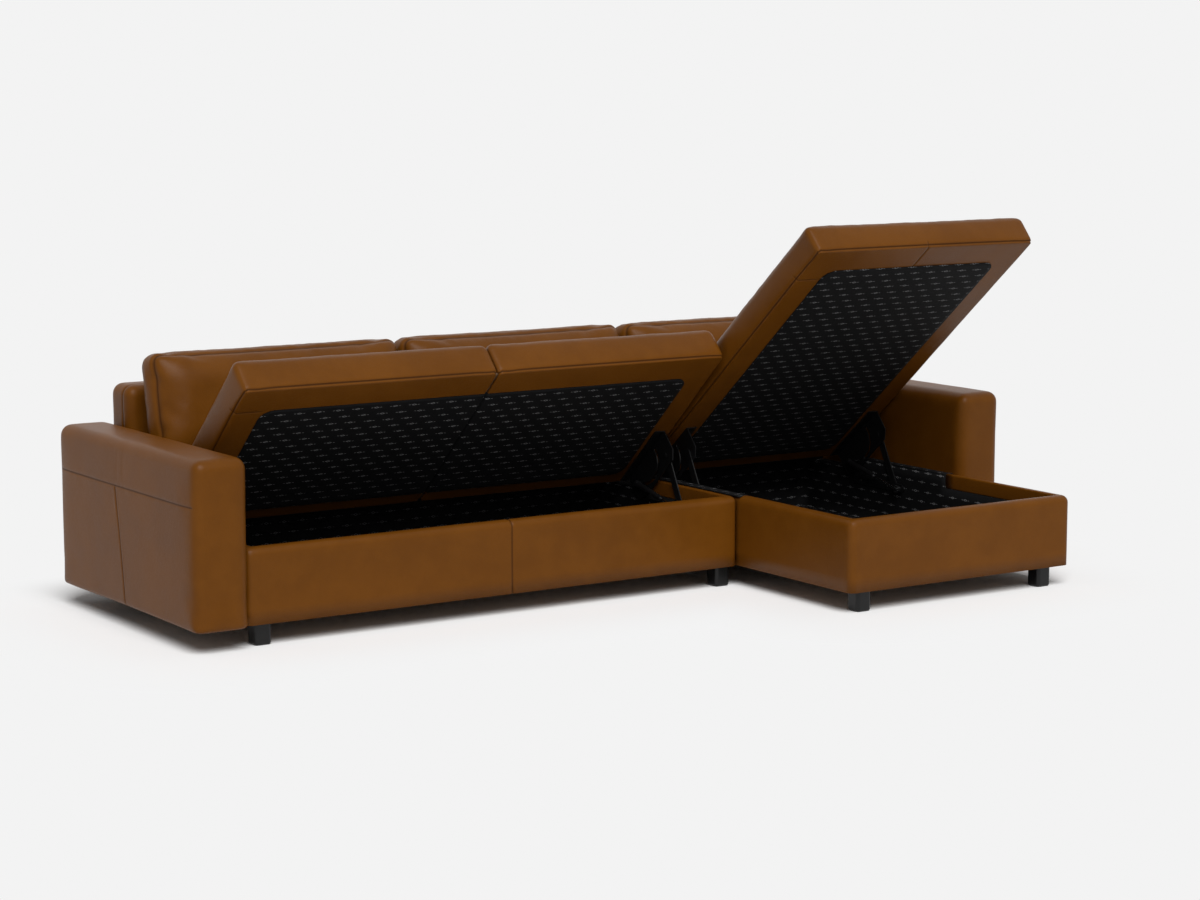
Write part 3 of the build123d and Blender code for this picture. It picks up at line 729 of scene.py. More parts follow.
@dataclass
class Pad:
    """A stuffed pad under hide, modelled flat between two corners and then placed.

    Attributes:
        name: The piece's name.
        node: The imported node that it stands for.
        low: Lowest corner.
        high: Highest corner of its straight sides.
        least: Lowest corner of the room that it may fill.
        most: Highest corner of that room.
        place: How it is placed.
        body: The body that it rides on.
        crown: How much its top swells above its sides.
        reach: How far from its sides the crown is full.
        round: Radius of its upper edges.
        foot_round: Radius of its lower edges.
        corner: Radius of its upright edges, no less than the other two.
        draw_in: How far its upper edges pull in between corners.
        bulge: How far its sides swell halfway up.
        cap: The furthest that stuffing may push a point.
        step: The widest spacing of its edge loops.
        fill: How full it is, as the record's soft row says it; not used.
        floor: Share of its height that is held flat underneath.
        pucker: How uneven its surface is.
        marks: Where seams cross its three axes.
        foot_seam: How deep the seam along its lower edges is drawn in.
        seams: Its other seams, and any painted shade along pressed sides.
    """

    name: str
    node: str
    low: Vector
    high: Vector
    least: Vector
    most: Vector
    place: Matrix = field(default_factory=lambda: Matrix.Identity(4))
    body: str = BASE
    crown: float = 0.03
    reach: float = 0.19
    round: float = 0.024
    foot_round: float = 0.010
    corner: float = 0.028
    draw_in: float = 0.003
    bulge: float = 0.003
    cap: float = 0.006
    step: float = 0.022
    fill: float = 0.7
    floor: float = 0.08
    pucker: float = 0.0010
    marks: tuple[Sequence[float], Sequence[float], Sequence[float]] = ((), (), ())
    foot_seam: float = 0.0
    seams: list[Seam] = field(default_factory=list)

    def _shares(self, point: Vector) -> tuple[float, float, float]:
        """Find a point's place in the pad.

        Args:
            point: The point.

        Returns:
            Its place across, along and up the pad: -1 to 1, -1 to 1 and 0 to 1.
        """
        size = self.high - self.low
        middle = (self.high + self.low) / 2
        across = 2 * (point.x - middle.x) / size.x
        along = 2 * (point.y - middle.y) / size.y
        return across, along, (point.z - self.low.z) / size.z

    def _rounded(self, point: Vector) -> Vector:
        """Roll the block's edges and round its corners.

        Args:
            point: A point of the block.

        Returns:
            Where it moves to.
        """
        middle, half = (self.high + self.low) / 2, (self.high - self.low) / 2
        away = point - middle
        over = Vector((abs(away.x) - half.x + self.corner, abs(away.y) - half.y + self.corner))
        over = Vector((max(over.x, 0.0), max(over.y, 0.0)))
        if over.length == 0:
            return point.copy()
        inset = self.corner - max(over.x, over.y)
        above, below = self.high.z - point.z, point.z - self.low.z
        radius = self.round if above < below else self.foot_round
        gap = min(above, below)
        if gap < radius and inset < radius:
            turn = inset if gap < 1e-6 else -gap
            angle = pi / 4 * (1 + turn / radius)
            inset, gap = radius * (1 - cos(angle)), radius * (1 - sin(angle))
        reach = over.normalized() * (self.corner - inset)
        x = abs(away.x) - over.x + reach.x
        y = abs(away.y) - over.y + reach.y
        z = self.high.z - gap if above < below else self.low.z + gap
        return Vector((middle.x + copysign(x, away.x), middle.y + copysign(y, away.y), z))

    def _full(self, away: float) -> float:
        """How full the crown is, this far from a side."""
        return 1 - (1 - min(max(away / self.reach, 0.0), 1.0)) ** 2.6

    def _form(self, point: Vector) -> Vector:
        """Crown the top, swell the sides and draw them in.

        Args:
            point: A rounded point.

        Returns:
            Where it moves to.
        """
        across, along, up = self._shares(point)
        dx = min(point.x - self.low.x, self.high.x - point.x)
        dy = min(point.y - self.low.y, self.high.y - point.y)
        lift = self.crown * self._full(dx) * self._full(dy) * max(up - 0.5, 0.0) * 2
        draw, swell = self.draw_in * up, self.bulge * 4 * max(up * (1 - up), 0.0)
        a, b = min(abs(across), 1.0), min(abs(along), 1.0)
        x = across * (swell * (1 - b**4) - draw * (1 - b * b))
        y = along * (swell * (1 - a**4) - draw * (1 - a * a))
        return point + Vector((x, y, lift))

    def _block(self) -> bmesh.types.BMesh:
        """Make the rounded, crowned block that the stuffing starts from.

        Returns:
            Its mesh, with its lower edges marked.
        """
        sides = []
        for axis in range(3):
            step = min(self.step, (self.high[axis] - self.low[axis]) / 7)
            edge = self.round if axis == 2 else self.corner
            sides.append(stations(self.low[axis], self.high[axis], step, edge, self.marks[axis]))
        bm = gridded_block(sides)
        foot = bm.verts.layers.float.new(FOOT)
        for vertex in bm.verts:
            out = [abs(vertex.co[n] - end[n]) < 1e-6 for n in (0, 1) for end in (self.low, self.high)]
            vertex[foot] = float(any(out) and abs(vertex.co.z - self.low.z) < 1e-6)
            vertex.co = self._form(self._rounded(vertex.co))
        return bm

    def _stuff(self, piece: bpy.types.Object) -> None:
        """Swell the pad by cloth simulation, with its underside held.

        Args:
            piece: The unplaced pad.
        """
        before = [v.co.copy() for v in piece.data.vertices]
        held = piece.vertex_groups.new(name="held")
        flat = [v.index for v in piece.data.vertices if self._shares(v.co)[2] < self.floor]
        held.add(flat, 1.0, "REPLACE")
        cloth = piece.modifiers.new("stuffing", "CLOTH")
        for key, value in STUFFING.items():
            setattr(cloth.settings, key, value)
        cloth.settings.effector_weights.gravity = 0.0
        cloth.point_cache.frame_start = 1
        cloth.point_cache.frame_end = STUFFING_FRAMES
        for step in range(1, STUFFING_FRAMES + 1):
            bpy.context.scene.frame_set(step)
        bake_modifiers(piece)
        bpy.context.scene.frame_set(1)
        for vertex, start in zip(piece.data.vertices, before):
            move = vertex.co - start
            if move.length > self.cap:
                vertex.co = start + move * (self.cap / move.length)

    def _sew(self, piece: bpy.types.Object) -> None:
        """Draw in the seams, mark them and the painted shade of pressed sides for the hide, and pucker the
        surface beside them.

        Args:
            piece: The stuffed pad.
        """
        mesh = piece.data
        mark = mesh.attributes.new(SEAM_AND_SHADE, "FLOAT", "POINT")
        sewn = [row.value if self.foot_seam else 0.0 for row in mesh.attributes[FOOT].data]
        normals = [v.normal.copy() for v in mesh.vertices]
        for vertex, normal in zip(mesh.vertices, normals):
            line = sewn[vertex.index]
            dip, ripple = self.foot_seam * line, 0.0
            for seam in self.seams:
                away = seam.distance(vertex.co) / seam.width
                if away < SEAM_REACH:
                    dip = max(dip, seam.depth * bell(away, 1.0))
                    line = max(line, bell(away * LINE_SHARPNESS, 1.0))
                    ripple = max(ripple, bell(away - RIPPLE_AT, RIPPLE_WIDTH))
            # For a split seam this line is painted shade on a pressed side, not a sewn line.
            mark.data[vertex.index].value = line
            fold = noise.noise(vertex.co * FOLD_SCALE) * ripple
            lump = sum(noise.noise(vertex.co * scale) * share for scale, share in LUMPS)
            vertex.co += normal * (self.pucker * (lump + fold) - dip)

    def _hold(self, piece: bpy.types.Object) -> None:
        """Keep the pad clear of what stands beside it.

        Args:
            piece: The sewn pad.
        """
        for vertex in piece.data.vertices:
            for axis in range(3):
                vertex.co[axis] = min(max(vertex.co[axis], self.least[axis]), self.most[axis])

    def build(self, material: bpy.types.Material) -> None:
        """Make the pad, stuff it, sew it and put it in its place.

        Args:
            material: The hide.
        """
        piece = new_piece(self.name, self._block(), material)
        self._stuff(piece)
        divide = piece.modifiers.new("divide", "SUBSURF")
        divide.levels = divide.render_levels = 1
        bake_modifiers(piece)
        self._sew(piece)
        self._hold(piece)
        piece.data.transform(self.place)
        piece.data.update()
        settle(piece, self.body, "leather", self.node)


@dataclass
class Lids:
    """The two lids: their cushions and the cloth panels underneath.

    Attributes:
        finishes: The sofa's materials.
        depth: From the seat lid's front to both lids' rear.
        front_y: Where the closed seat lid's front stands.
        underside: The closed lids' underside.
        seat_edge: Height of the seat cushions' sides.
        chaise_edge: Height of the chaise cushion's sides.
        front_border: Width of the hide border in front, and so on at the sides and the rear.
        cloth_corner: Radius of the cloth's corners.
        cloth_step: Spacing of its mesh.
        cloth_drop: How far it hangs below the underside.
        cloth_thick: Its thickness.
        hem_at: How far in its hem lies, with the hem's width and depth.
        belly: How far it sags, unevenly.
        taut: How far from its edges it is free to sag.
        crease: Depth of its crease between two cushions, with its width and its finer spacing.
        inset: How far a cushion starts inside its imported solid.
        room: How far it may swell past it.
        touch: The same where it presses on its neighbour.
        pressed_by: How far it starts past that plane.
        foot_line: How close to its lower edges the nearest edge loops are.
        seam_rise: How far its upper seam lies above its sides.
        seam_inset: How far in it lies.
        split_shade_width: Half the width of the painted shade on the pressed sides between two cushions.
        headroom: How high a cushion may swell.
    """

    finishes: Finishes
    depth: float = 0.715
    front_y: float = -0.191
    underside: float = 0.3005
    seat_edge: float = 0.117
    chaise_edge: float = 0.107
    front_border: float = 0.115
    side_border: float = 0.100
    rear_border: float = 0.065
    cloth_corner: float = 0.045
    cloth_step: float = 0.014
    cloth_drop: float = 0.0016
    cloth_thick: float = 0.0020
    hem_at: float = 0.006
    hem_width: float = 0.005
    hem_depth: float = 0.0010
    belly: float = 0.0012
    taut: float = 0.04
    crease: float = 0.0075
    crease_width: float = 0.0045
    crease_step: float = 0.0018
    inset: float = 0.001
    room: float = 0.004
    touch: float = 0.00045
    pressed_by: float = 0.006
    foot_line: float = 0.0050
    seam_rise: float = 0.004
    seam_inset: float = 0.034
    split_shade_width: float = 0.0078
    headroom: float = 0.17

    def _cushion(
        self,
        name: str,
        lift: Lift,
        front: float,
        edge_height: float,
        seams: list[Seam],
        marks: tuple[Sequence[float], Sequence[float]] = ((), ()),
        pressed: tuple[bool, bool] = (False, False),
    ) -> None:
        """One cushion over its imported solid.

        Args:
            name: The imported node.
            lift: The lid that it lies on.
            front: Where its front stands when it is closed.
            edge_height: The height of its sides.
            seams: Its own short seams.
            marks: Where those cross X and Y.
            pressed: Whether its left and right sides are pressed flat by a neighbour.
        """
        near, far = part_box(name)
        rear = self.front_y + self.depth
        start = near.x + (-self.pressed_by if pressed[0] else self.inset)
        end = far.x - (-self.pressed_by if pressed[1] else self.inset)
        low = Vector((start, front + self.inset, self.underside + 0.0003))
        high = Vector((end, rear - self.inset, self.underside + edge_height))
        height = high.z + self.seam_rise
        top = rim_seam(low, high, height, self.seam_inset, depth=0.0030, width=0.008)
        left = near.x - (self.touch if pressed[0] else self.room)
        right = far.x + (self.touch if pressed[1] else self.room)
        sides = ((left, 1.0), (right, -1.0))
        # Painted shade on the sides that press against the neighbouring cushion, standing for the shade in
        # the groove between them.
        split_shades = [split_shade(*side, self.split_shade_width) for side, held in zip(sides, pressed) if held]
        rise = self.foot_line
        pad = Pad(
            name=f"{name}_hide",
            node=name,
            low=low,
            high=high,
            least=Vector((left, front - self.room, self.underside - 0.0005)),
            most=Vector((right, rear + self.room, self.underside + self.headroom)),
            place=lift.opened,
            body=lift.body,
            crown=0.022,
            reach=0.12,
            foot_round=0.016,
            corner=0.025,
            bulge=0.006,
            floor=0.01,
            marks=(
                (low.x + rise, high.x - rise, *marks[0]),
                (low.y + rise, high.y - rise, *marks[1]),
                (low.z + rise,),
            ),
            foot_seam=0.0026,
            seams=[top, *split_shades, *seams],
        )
        pad.build(self.finishes.hide)

    def _border_seam(self, across: float, start: float, end: float, along_x: bool) -> Seam:
        """A short seam across the hide border under a lid.

        Args:
            across: Where it crosses the border.
            start: Where it starts.
            end: Where it ends.
            along_x: Whether the border runs along X.

        Returns:
            The seam.
        """

        def distance(p: Vector) -> float:
            """How far a point of the underside is from the seam."""
            if p.z > self.underside + 0.02:
                return NOWHERE
            near, far = (p.x, p.y) if along_x else (p.y, p.x)
            return hypot(near - across, max(start - far, far - end, 0.0))

        return Seam(distance, depth=0.0016, width=0.0034)

    def _panel_point(self, flat: Vector, half: Vector) -> Vector:
        """Round a flat panel's corners.

        Args:
            flat: A point of the square panel, from its middle.
            half: Half the panel's size.

        Returns:
            Where it moves to.
        """
        corner = Vector((half.x - self.cloth_corner, half.y - self.cloth_corner, 0.0))
        over = Vector((abs(flat.x) - corner.x, abs(flat.y) - corner.y, 0.0))
        if over.x <= 0 or over.y <= 0:
            return flat
        pull = max(over.x, over.y) / over.length
        x, y = corner.x + over.x * pull, corner.y + over.y * pull
        return Vector((copysign(x, flat.x), copysign(y, flat.y), 0.0))

    def _cloth(
        self, module: str, lift: Lift, span: tuple[float, float], front: float, split: float | None
    ) -> None:
        """The cloth panel under a lid, with round corners, a turned hem and a soft belly.

        Args:
            module: The lid's module.
            lift: The lid.
            span: Where the lid starts and ends along X.
            front: Where its front stands when it is closed.
            split: Where the cloth is creased between two cushions.
        """
        x0, x1 = span[0] + self.side_border, span[1] - self.side_border
        y0, y1 = front + self.front_border, self.front_y + self.depth - self.rear_border
        middle = Vector(((x0 + x1) / 2, (y0 + y1) / 2, 0.0))
        half = Vector(((x1 - x0) / 2, (y1 - y0) / 2, 0.0))
        bm = bmesh.new()
        columns, rows = int(2 * half.x / self.cloth_step), int(2 * half.y / self.cloth_step)
        bmesh.ops.create_grid(bm, x_segments=columns, y_segments=rows, size=0.5)
        layer = bm.loops.layers.uv.new(CLOTH_MAP)
        for vertex in bm.verts:
            square = Vector((vertex.co.x * 2 * half.x, vertex.co.y * 2 * half.y, 0.0))
            vertex.co = middle + self._panel_point(square, half)
        if split is not None:
            cut_grid(bm, 0, [split + self.crease_step * n for n in range(-5, 6)])
        for vertex in bm.verts:
            point = vertex.co
            edge = min(half.x - abs(point.x - middle.x), half.y - abs(point.y - middle.y))
            slack = min(edge / self.taut, 1.0)
            hem = bell(edge - self.hem_at, self.hem_width) * self.hem_depth
            belly = (noise.noise(point * 8.0) + 0.6) * self.belly * slack
            crease = 0.0 if split is None else bell(point.x - split, self.crease_width) * self.crease
            point.z = self.underside - self.cloth_drop - hem - belly + crease
        for face in bm.faces:
            for loop in face.loops:
                loop[layer].uv = (loop.vert.co.x, loop.vert.co.y)
        bmesh.ops.reverse_faces(bm, faces=bm.faces[:])
        piece = new_piece(f"{module}_lid_cloth_panel", bm, self.finishes.mapped_cloth)
        thicken(piece, self.cloth_thick)
        piece.data.transform(lift.opened)
        piece.data.update()
        settle(piece, lift.body, "lining_cloth", f"{module}_lid_cloth")
        y1 - y0

    def build(self) -> None:
        """Make both lids."""
        seat, chaise = Lift("seat"), Lift("chaise")
        left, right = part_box("seat_cushion_left"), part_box("seat_cushion_right")
        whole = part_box("chaise_cushion")
        split = (left[1].x + right[0].x) / 2
        chaise_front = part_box("chaise_box_cover")[0].y
        cross_y = self.front_y + 0.12
        cross = self._border_seam(cross_y, left[0].x, left[0].x + self.side_border, False)
        edges = (self.front_y, self.seat_edge)
        self._cushion("seat_cushion_left", seat, *edges, [cross], ((), (cross_y,)), (False, True))
        self._cushion("seat_cushion_right", seat, *edges, [], pressed=(True, False))
        nose_x, cheek_y = (whole[0].x + whole[1].x) / 2, chaise_front + 0.16
        nose = self._border_seam(nose_x, chaise_front, chaise_front + self.front_border, True)
        cheek = self._border_seam(cheek_y, whole[0].x, whole[0].x + self.side_border, False)
        edges = (chaise_front, self.chaise_edge)
        self._cushion("chaise_cushion", chaise, *edges, [nose, cheek], ((nose_x,), (cheek_y,)))
        self._cloth("seat", seat, (left[0].x, right[1].x), self.front_y, split)
        self._cloth("chaise", chaise, (whole[0].x, whole[1].x), chaise_front, None)


@dataclass
class BackCushions:
    """Three back cushions that lean on their brackets.

    Attributes:
        finishes: The sofa's materials.
        lean: How far they lean back, in degrees.
        height: Their height along the lean.
        gusset: Their thickness at the sides.
        foot_y: Where their lower rear edge is along Y, and foot_z along Z.
        inset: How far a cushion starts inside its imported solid.
        room: How far it may swell past it.
    """

    finishes: Finishes
    lean: float = 11.0
    height: float = 0.350
    gusset: float = 0.088
    foot_y: float = 0.513
    foot_z: float = 0.458
    inset: float = 0.002
    room: float = 0.0025

    def build(self) -> None:
        """Make each cushion lying on its back, then lean it."""
        s, c = sin(radians(self.lean)), cos(radians(self.lean))
        lean = Matrix(((1, 0, 0, 0), (0, s, -c, self.foot_y), (0, c, s, self.foot_z), (0, 0, 0, 1)))
        front = Seam(lambda p: abs(p.z - self.gusset + 0.007), depth=0.0045, width=0.008)
        rear = Seam(lambda p: abs(p.z - 0.014), depth=0.0035, width=0.007)
        for place in ("left", "middle", "chaise"):
            node = f"back_cushion_{place}"
            low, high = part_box(node)
            pad = Pad(
                name=f"{node}_hide",
                node=node,
                low=Vector((low.x + self.inset, self.inset, 0.0005)),
                high=Vector((high.x - self.inset, self.height - self.inset, self.gusset)),
                least=Vector((low.x - self.room, -self.room, 0.0002)),
                most=Vector((high.x + self.room, self.height + self.room, 0.2)),
                place=lean,
                crown=0.042,
                reach=0.11,
                round=0.026,
                foot_round=0.012,
                corner=0.040,
                draw_in=0.005,
                cap=0.009,
                step=0.020,
                fill=0.75,
                pucker=0.0016,
                seams=[front, rear],
            )
            pad.build(self.finishes.hide)


@dataclass
class Covers:
    """Padded covers over fixed frames.

    Attributes:
        finishes: The sofa's materials.
        inset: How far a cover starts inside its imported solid.
        room: How far it may swell past it.
    """

    finishes: Finishes
    inset: float = 0.002
    room: float = 0.006

    def _cover(self, part: str, least: Vector, most: Vector, **sizes: Any) -> None:
        """Make one cover.

        Args:
            part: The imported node's name without its last word.
            least: Lowest corner of the room that it may fill.
            most: Highest corner of that room.
            sizes: What else its pad needs.
        """
        low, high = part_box(f"{part}_cover")
        inside = Vector((self.inset, self.inset, 0.0))
        pad = Pad(
            name=f"{part}_hide",
            node=f"{part}_cover",
            low=low + inside,
            high=high - inside - Vector((0.0, 0.0, self.inset)),
            least=least,
            most=most,
            round=0.034,
            corner=0.034,
            draw_in=0.0,
            fill=0.85,
            floor=0.003,
            pucker=0.0006,
            **sizes,
        )
        pad.build(self.finishes.hide)


@dataclass
class Arms(Covers):
    """Two padded arms with sewn panels on their outer faces.

    Attributes:
        seam_height: Height of the level seam.
        seam_top_y: Where the upright seam below it starts.
        seam_foot_y: Where that ends.
        face: How near the outer face a point counts as on it, and how far from its ends.
    """

    seam_height: float = 0.436
    seam_top_y: float = 0.328
    seam_foot_y: float = 0.273
    face: float = 0.03

    def _panel(self, outer: float, start: float, end: float) -> Seam:
        """The level seam along an arm's outer face, between its round ends.

        Args:
            outer: Where the face is along X.
            start: Where the arm starts along Y.
            end: Where it ends.

        Returns:
            The seam.
        """

        def distance(p: Vector) -> float:
            """How far a point of the face is from the seam."""
            on_face = abs(p.x - outer) < self.face and start + self.face < p.y < end - self.face
            return abs(p.z - self.seam_height) if on_face else NOWHERE

        return Seam(distance, depth=0.0022, width=0.0045)

    def _upright(self, outer: float, foot: float) -> Seam:
        """The curved seam below it.

        Args:
            outer: Where the face is along X.
            foot: The arm's lower edge.

        Returns:
            The seam.
        """

        def distance(p: Vector) -> float:
            """How far a point of the lower face is from the seam."""
            if abs(p.x - outer) > self.face or p.z > self.seam_height:
                return NOWHERE
            share = max((p.z - foot) / (self.seam_height - foot), 0.0)
            line = self.seam_foot_y + (self.seam_top_y - self.seam_foot_y) * share**1.4
            return abs(p.y - line)

        return Seam(distance, depth=0.0020, width=0.0045)

    def build(self) -> None:
        """Make both arms, with no room to swell towards the seats."""
        middle = (self.seam_top_y + self.seam_foot_y) / 2
        band = [middle + 0.011 * n for n in range(-4, 5)]
        out = Vector((self.room, self.room, 0.0))
        for side in ("left", "right"):
            low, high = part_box(f"{side}_arm_cover")
            least, most = low - out, high + out + Vector((0.0, 0.0, self.room))
            if side == "left":
                outer, most.x = low.x, high.x
            else:
                outer, least.x = high.x, low.x
            self._cover(
                f"{side}_arm",
                least,
                most,
                crown=0.003,
                reach=0.08,
                foot_round=0.014,
                bulge=0.002,
                cap=0.0045,
                step=0.024,
                marks=((), band, (self.seam_height,)),
                seams=[self._panel(outer, low.y, high.y), self._upright(outer, low.z)],
            )


@dataclass
class BackRests(Covers):
    """The low padded rests behind the back cushions.

    Attributes:
        seam_inset: How far behind their fronts the seam over them runs.
        side_room: How far they may swell sideways.
    """

    seam_inset: float = 0.046
    side_room: float = 0.0008

    def build(self) -> None:
        """Make both rests."""
        for module in ("seat", "chaise"):
            low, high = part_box(f"{module}_back_cover")
            seam_y = low.y + self.seam_inset
            self._cover(
                f"{module}_back",
                low - Vector((self.side_room, 0.0, 0.0)),
                high + Vector((self.side_room, self.room, self.room)),
                crown=0.002,
                reach=0.07,
                foot_round=0.008,
                bulge=0.0,
                cap=0.004,
                step=0.028,
                marks=((), (seam_y,), ()),
                seams=[Seam(lambda p, line=seam_y: abs(p.y - line), depth=0.0024, width=0.005)],
            )


@dataclass
class StorageBoxes:
    """The two storage boxes: hide rolled over the rim outside, cloth lining inside.

    Attributes:
        finishes: The sofa's materials.
        wall: Thickness of a padded wall.
        roll: Radius of its outer edges.
        inner_roll: Radius of its inner edges.
        wrap: How far the hide goes down inside.
        skin: The hide's thickness.
        grid: Spacing of the mesh.
        seam_x: Where the seat box's upright seam is.
        seam_width: Half its width.
        seam_depth: How far it is drawn in.
        seam_step: Spacing of the mesh beside it.
        notch_y: Where the walls step down towards the rear.
        notch_z: The height of that step.
        cloth: The lining's thickness.
        slack: How loose it is.
        strip: Thickness of the cloth over a bare rim.
        tuck: How far the hide goes back between the modules.
        ease: The small clearance of the lining.
        lift: The lining's clearance round the rear shelf.
    """

    finishes: Finishes
    wall: float = 0.036
    roll: float = 0.024
    inner_roll: float = 0.006
    wrap: float = 0.050
    skin: float = 0.003
    grid: float = 0.045
    seam_x: float = -0.437
    seam_width: float = 0.0042
    seam_depth: float = 0.0022
    seam_step: float = 0.0022
    notch_y: float = 0.339
    notch_z: float = 0.262
    cloth: float = 0.001
    slack: float = 0.0026
    strip: float = 0.005
    tuck: float = 0.060
    ease: float = 0.001
    lift: float = 0.0016

    def _between(self, low: Vector, high: Vector) -> bmesh.types.BMesh:
        """Make a plain block, to be cut open.

        Args:
            low: Its lowest corner.
            high: Its highest corner.

        Returns:
            Its mesh.
        """
        bm = bmesh.new()
        bmesh.ops.create_cube(bm, size=1.0)
        bmesh.ops.scale(bm, vec=high - low, verts=bm.verts)
        bmesh.ops.translate(bm, vec=(high + low) / 2, verts=bm.verts)
        bm.normal_update()
        return bm

    def _cut(self, bm: bmesh.types.BMesh, low: Vector, high: Vector, marks: Sequence[float] = ()) -> None:
        """Cut a shell into a grid.

        Args:
            bm: The shell.
            low: Its lowest corner.
            high: Its highest corner.
            marks: Where the cuts along X are closer.
        """
        for axis in range(3):
            length = high[axis] - low[axis]
            count = max(round(length / self.grid), 1)
            places = [low[axis] + length * n / count for n in range(1, count)]
            if axis == 0:
                places += [mark + self.seam_step * n for mark in marks for n in range(-4, 5)]
            cut_grid(bm, axis, places)

    def _shell(self, low: Vector, high: Vector) -> bmesh.types.BMesh:
        """Fold the hide round three sides, over the rim and a little way down inside.

        Args:
            low: The hide's lowest corner.
            high: Its highest corner.

        Returns:
            Its mesh.
        """
        bm = self._between(low, high)
        gone = [f for f in bm.faces if f.normal.z < -0.5 or f.normal.y > 0.5]
        bmesh.ops.delete(bm, geom=gone, context="FACES")
        top = [f for f in bm.faces if f.normal.z > 0.5]
        bmesh.ops.inset_region(bm, faces=top, thickness=self.wall, use_even_offset=True)
        made = bmesh.ops.extrude_face_region(bm, geom=top)["geom"]
        moved = [v for v in made if isinstance(v, bmesh.types.BMVert)]
        bmesh.ops.translate(bm, vec=(0.0, 0.0, -self.wrap), verts=moved)
        bm.normal_update()
        middle = (low.x + high.x) / 2
        waste = []
        for face in bm.faces:
            centre = face.calc_center_median()
            inside = abs(centre.x - middle) < 0.05 and centre.y > low.y + self.wall + 0.01
            if abs(centre.y - high.y) < SAME or (abs(face.normal.z) > 0.5 and inside):
                waste.append(face)
        bmesh.ops.delete(bm, geom=waste, context="FACES")
        self._roll_edges(bm, low, high, 0.0, self.roll, 6)
        self._roll_edges(bm, low, high, self.wall, self.inner_roll, 3)
        self._tuck(bm, low, high)
        return bm

    def _tuck(self, bm: bmesh.types.BMesh, low: Vector, high: Vector) -> None:
        """Carry the outer faces and their rolled edges a little way back between the modules.

        Args:
            bm: The hide.
            low: Its lowest corner.
            high: Its highest corner.
        """
        ends = []
        for edge in bm.edges:
            inward = [min(v.co.x - low.x, high.x - v.co.x) for v in edge.verts]
            if lies_at(edge, 1, high.y) and max(inward) < self.roll + SAME:
                ends.append(edge)
        self._draw_out(bm, ends, Vector((0.0, self.tuck, 0.0)))

    def _roll_edges(
        self, bm: bmesh.types.BMesh, low: Vector, high: Vector, inset: float, radius: float, steps: int
    ) -> None:
        """Round the rim's edges, and the upright corners outside.

        Args:
            bm: The hide.
            low: Its lowest corner.
            high: Its highest corner.
            inset: How far in from the outer faces the edges stand.
            radius: Their radius.
            steps: How many faces go round.
        """
        sides = [(0, low.x + inset), (0, high.x - inset), (1, low.y + inset)]
        chosen = []
        for edge in bm.edges:
            on = [side for side in sides if lies_at(edge, *side)]
            if (on and lies_at(edge, 2, high.z)) or (inset == 0.0 and len(on) == 2):
                chosen.append(edge)
        shape = {"segments": steps, "profile": 0.5, "affect": "EDGES", "material": -1}
        bmesh.ops.bevel(bm, geom=chosen, offset=radius, **shape)

    def _hide(self, module: str) -> None:
        """The hide of one box, drawn in at its upright seam.

        Args:
            module: The box's module.
        """
        node = f"{module}_box_cover"
        low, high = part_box(node)
        marks = [self.seam_x] if low.x < self.seam_x < high.x else []
        bm = self._shell(low, high)
        self._cut(bm, low, high, marks)
        bmesh.ops.remove_doubles(bm, verts=bm.verts[:], dist=1e-5)
        layer = bm.verts.layers.float.new(SEAM_AND_SHADE)
        bm.normal_update()
        for vertex, normal in [(v, v.normal.copy()) for v in bm.verts]:
            in_front = vertex.co.y < low.y + self.wall
            near = [bell(vertex.co.x - mark, self.seam_width) for mark in marks if in_front]
            vertex[layer] = max([n**3 for n in near], default=0.0)
            soft = (noise.noise(vertex.co * 6.0) + 1.0) * 0.0006
            vertex.co -= normal * (soft + self.seam_depth * max(near, default=0.0))
        piece = new_piece(f"{module}_box_hide", bm, self.finishes.hide)
        thicken(piece, self.skin)
        settle(piece, BASE, "leather", node)

    def _lining(self, module: str) -> None:
        """The slack cloth inside one box, and over its rim where the hide stops.

        Args:
            module: The box's module.
        """
        outer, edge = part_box(f"{module}_box_cover")
        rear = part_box(f"{module}_rear_board")[0].y - self.ease
        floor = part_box(f"{module}_floor_board")[1].z + self.ease
        bare_rim = edge.y < self.notch_y - 0.01
        top = edge.z - self.ease if bare_rim else self.notch_z
        inside = self.wall - self.ease
        low = Vector((outer.x + inside, outer.y + inside, floor))
        high = Vector((edge.x - inside, rear, top))
        bm = self._between(low, high)
        bmesh.ops.delete(bm, geom=[f for f in bm.faces if f.normal.z > 0.5], context="FACES")
        cut_grid(bm, 1, (edge.y, self.notch_y))
        cut_grid(bm, 2, (edge.z - self.wrap, self.notch_z))
        waste = []
        for face in bm.faces:
            centre = face.calc_center_median()
            wrapped = centre.y < edge.y and centre.z > edge.z - self.wrap
            if wrapped or (centre.y > self.notch_y and centre.z > self.notch_z):
                waste.append(face)
        bmesh.ops.delete(bm, geom=waste, context="FACES")
        run = self._turn_over(bm, module, low, high)
        self._cut(bm, low, high)
        bmesh.ops.reverse_faces(bm, faces=bm.faces[:])
        bm.normal_update()
        for vertex, normal in [(v, v.normal.copy()) for v in bm.verts]:
            loose = 0.55 + 0.45 * noise.noise(vertex.co * 7.0)
            vertex.co += normal * self.slack * loose
        piece = new_piece(f"{module}_lining_cloth", bm, self.finishes.boxed_cloth)
        thicken(piece, self.cloth)
        settle(piece, BASE, "lining_cloth", f"{module}_lining")
        if bare_rim:
            self._rim_strips(module, outer, edge)

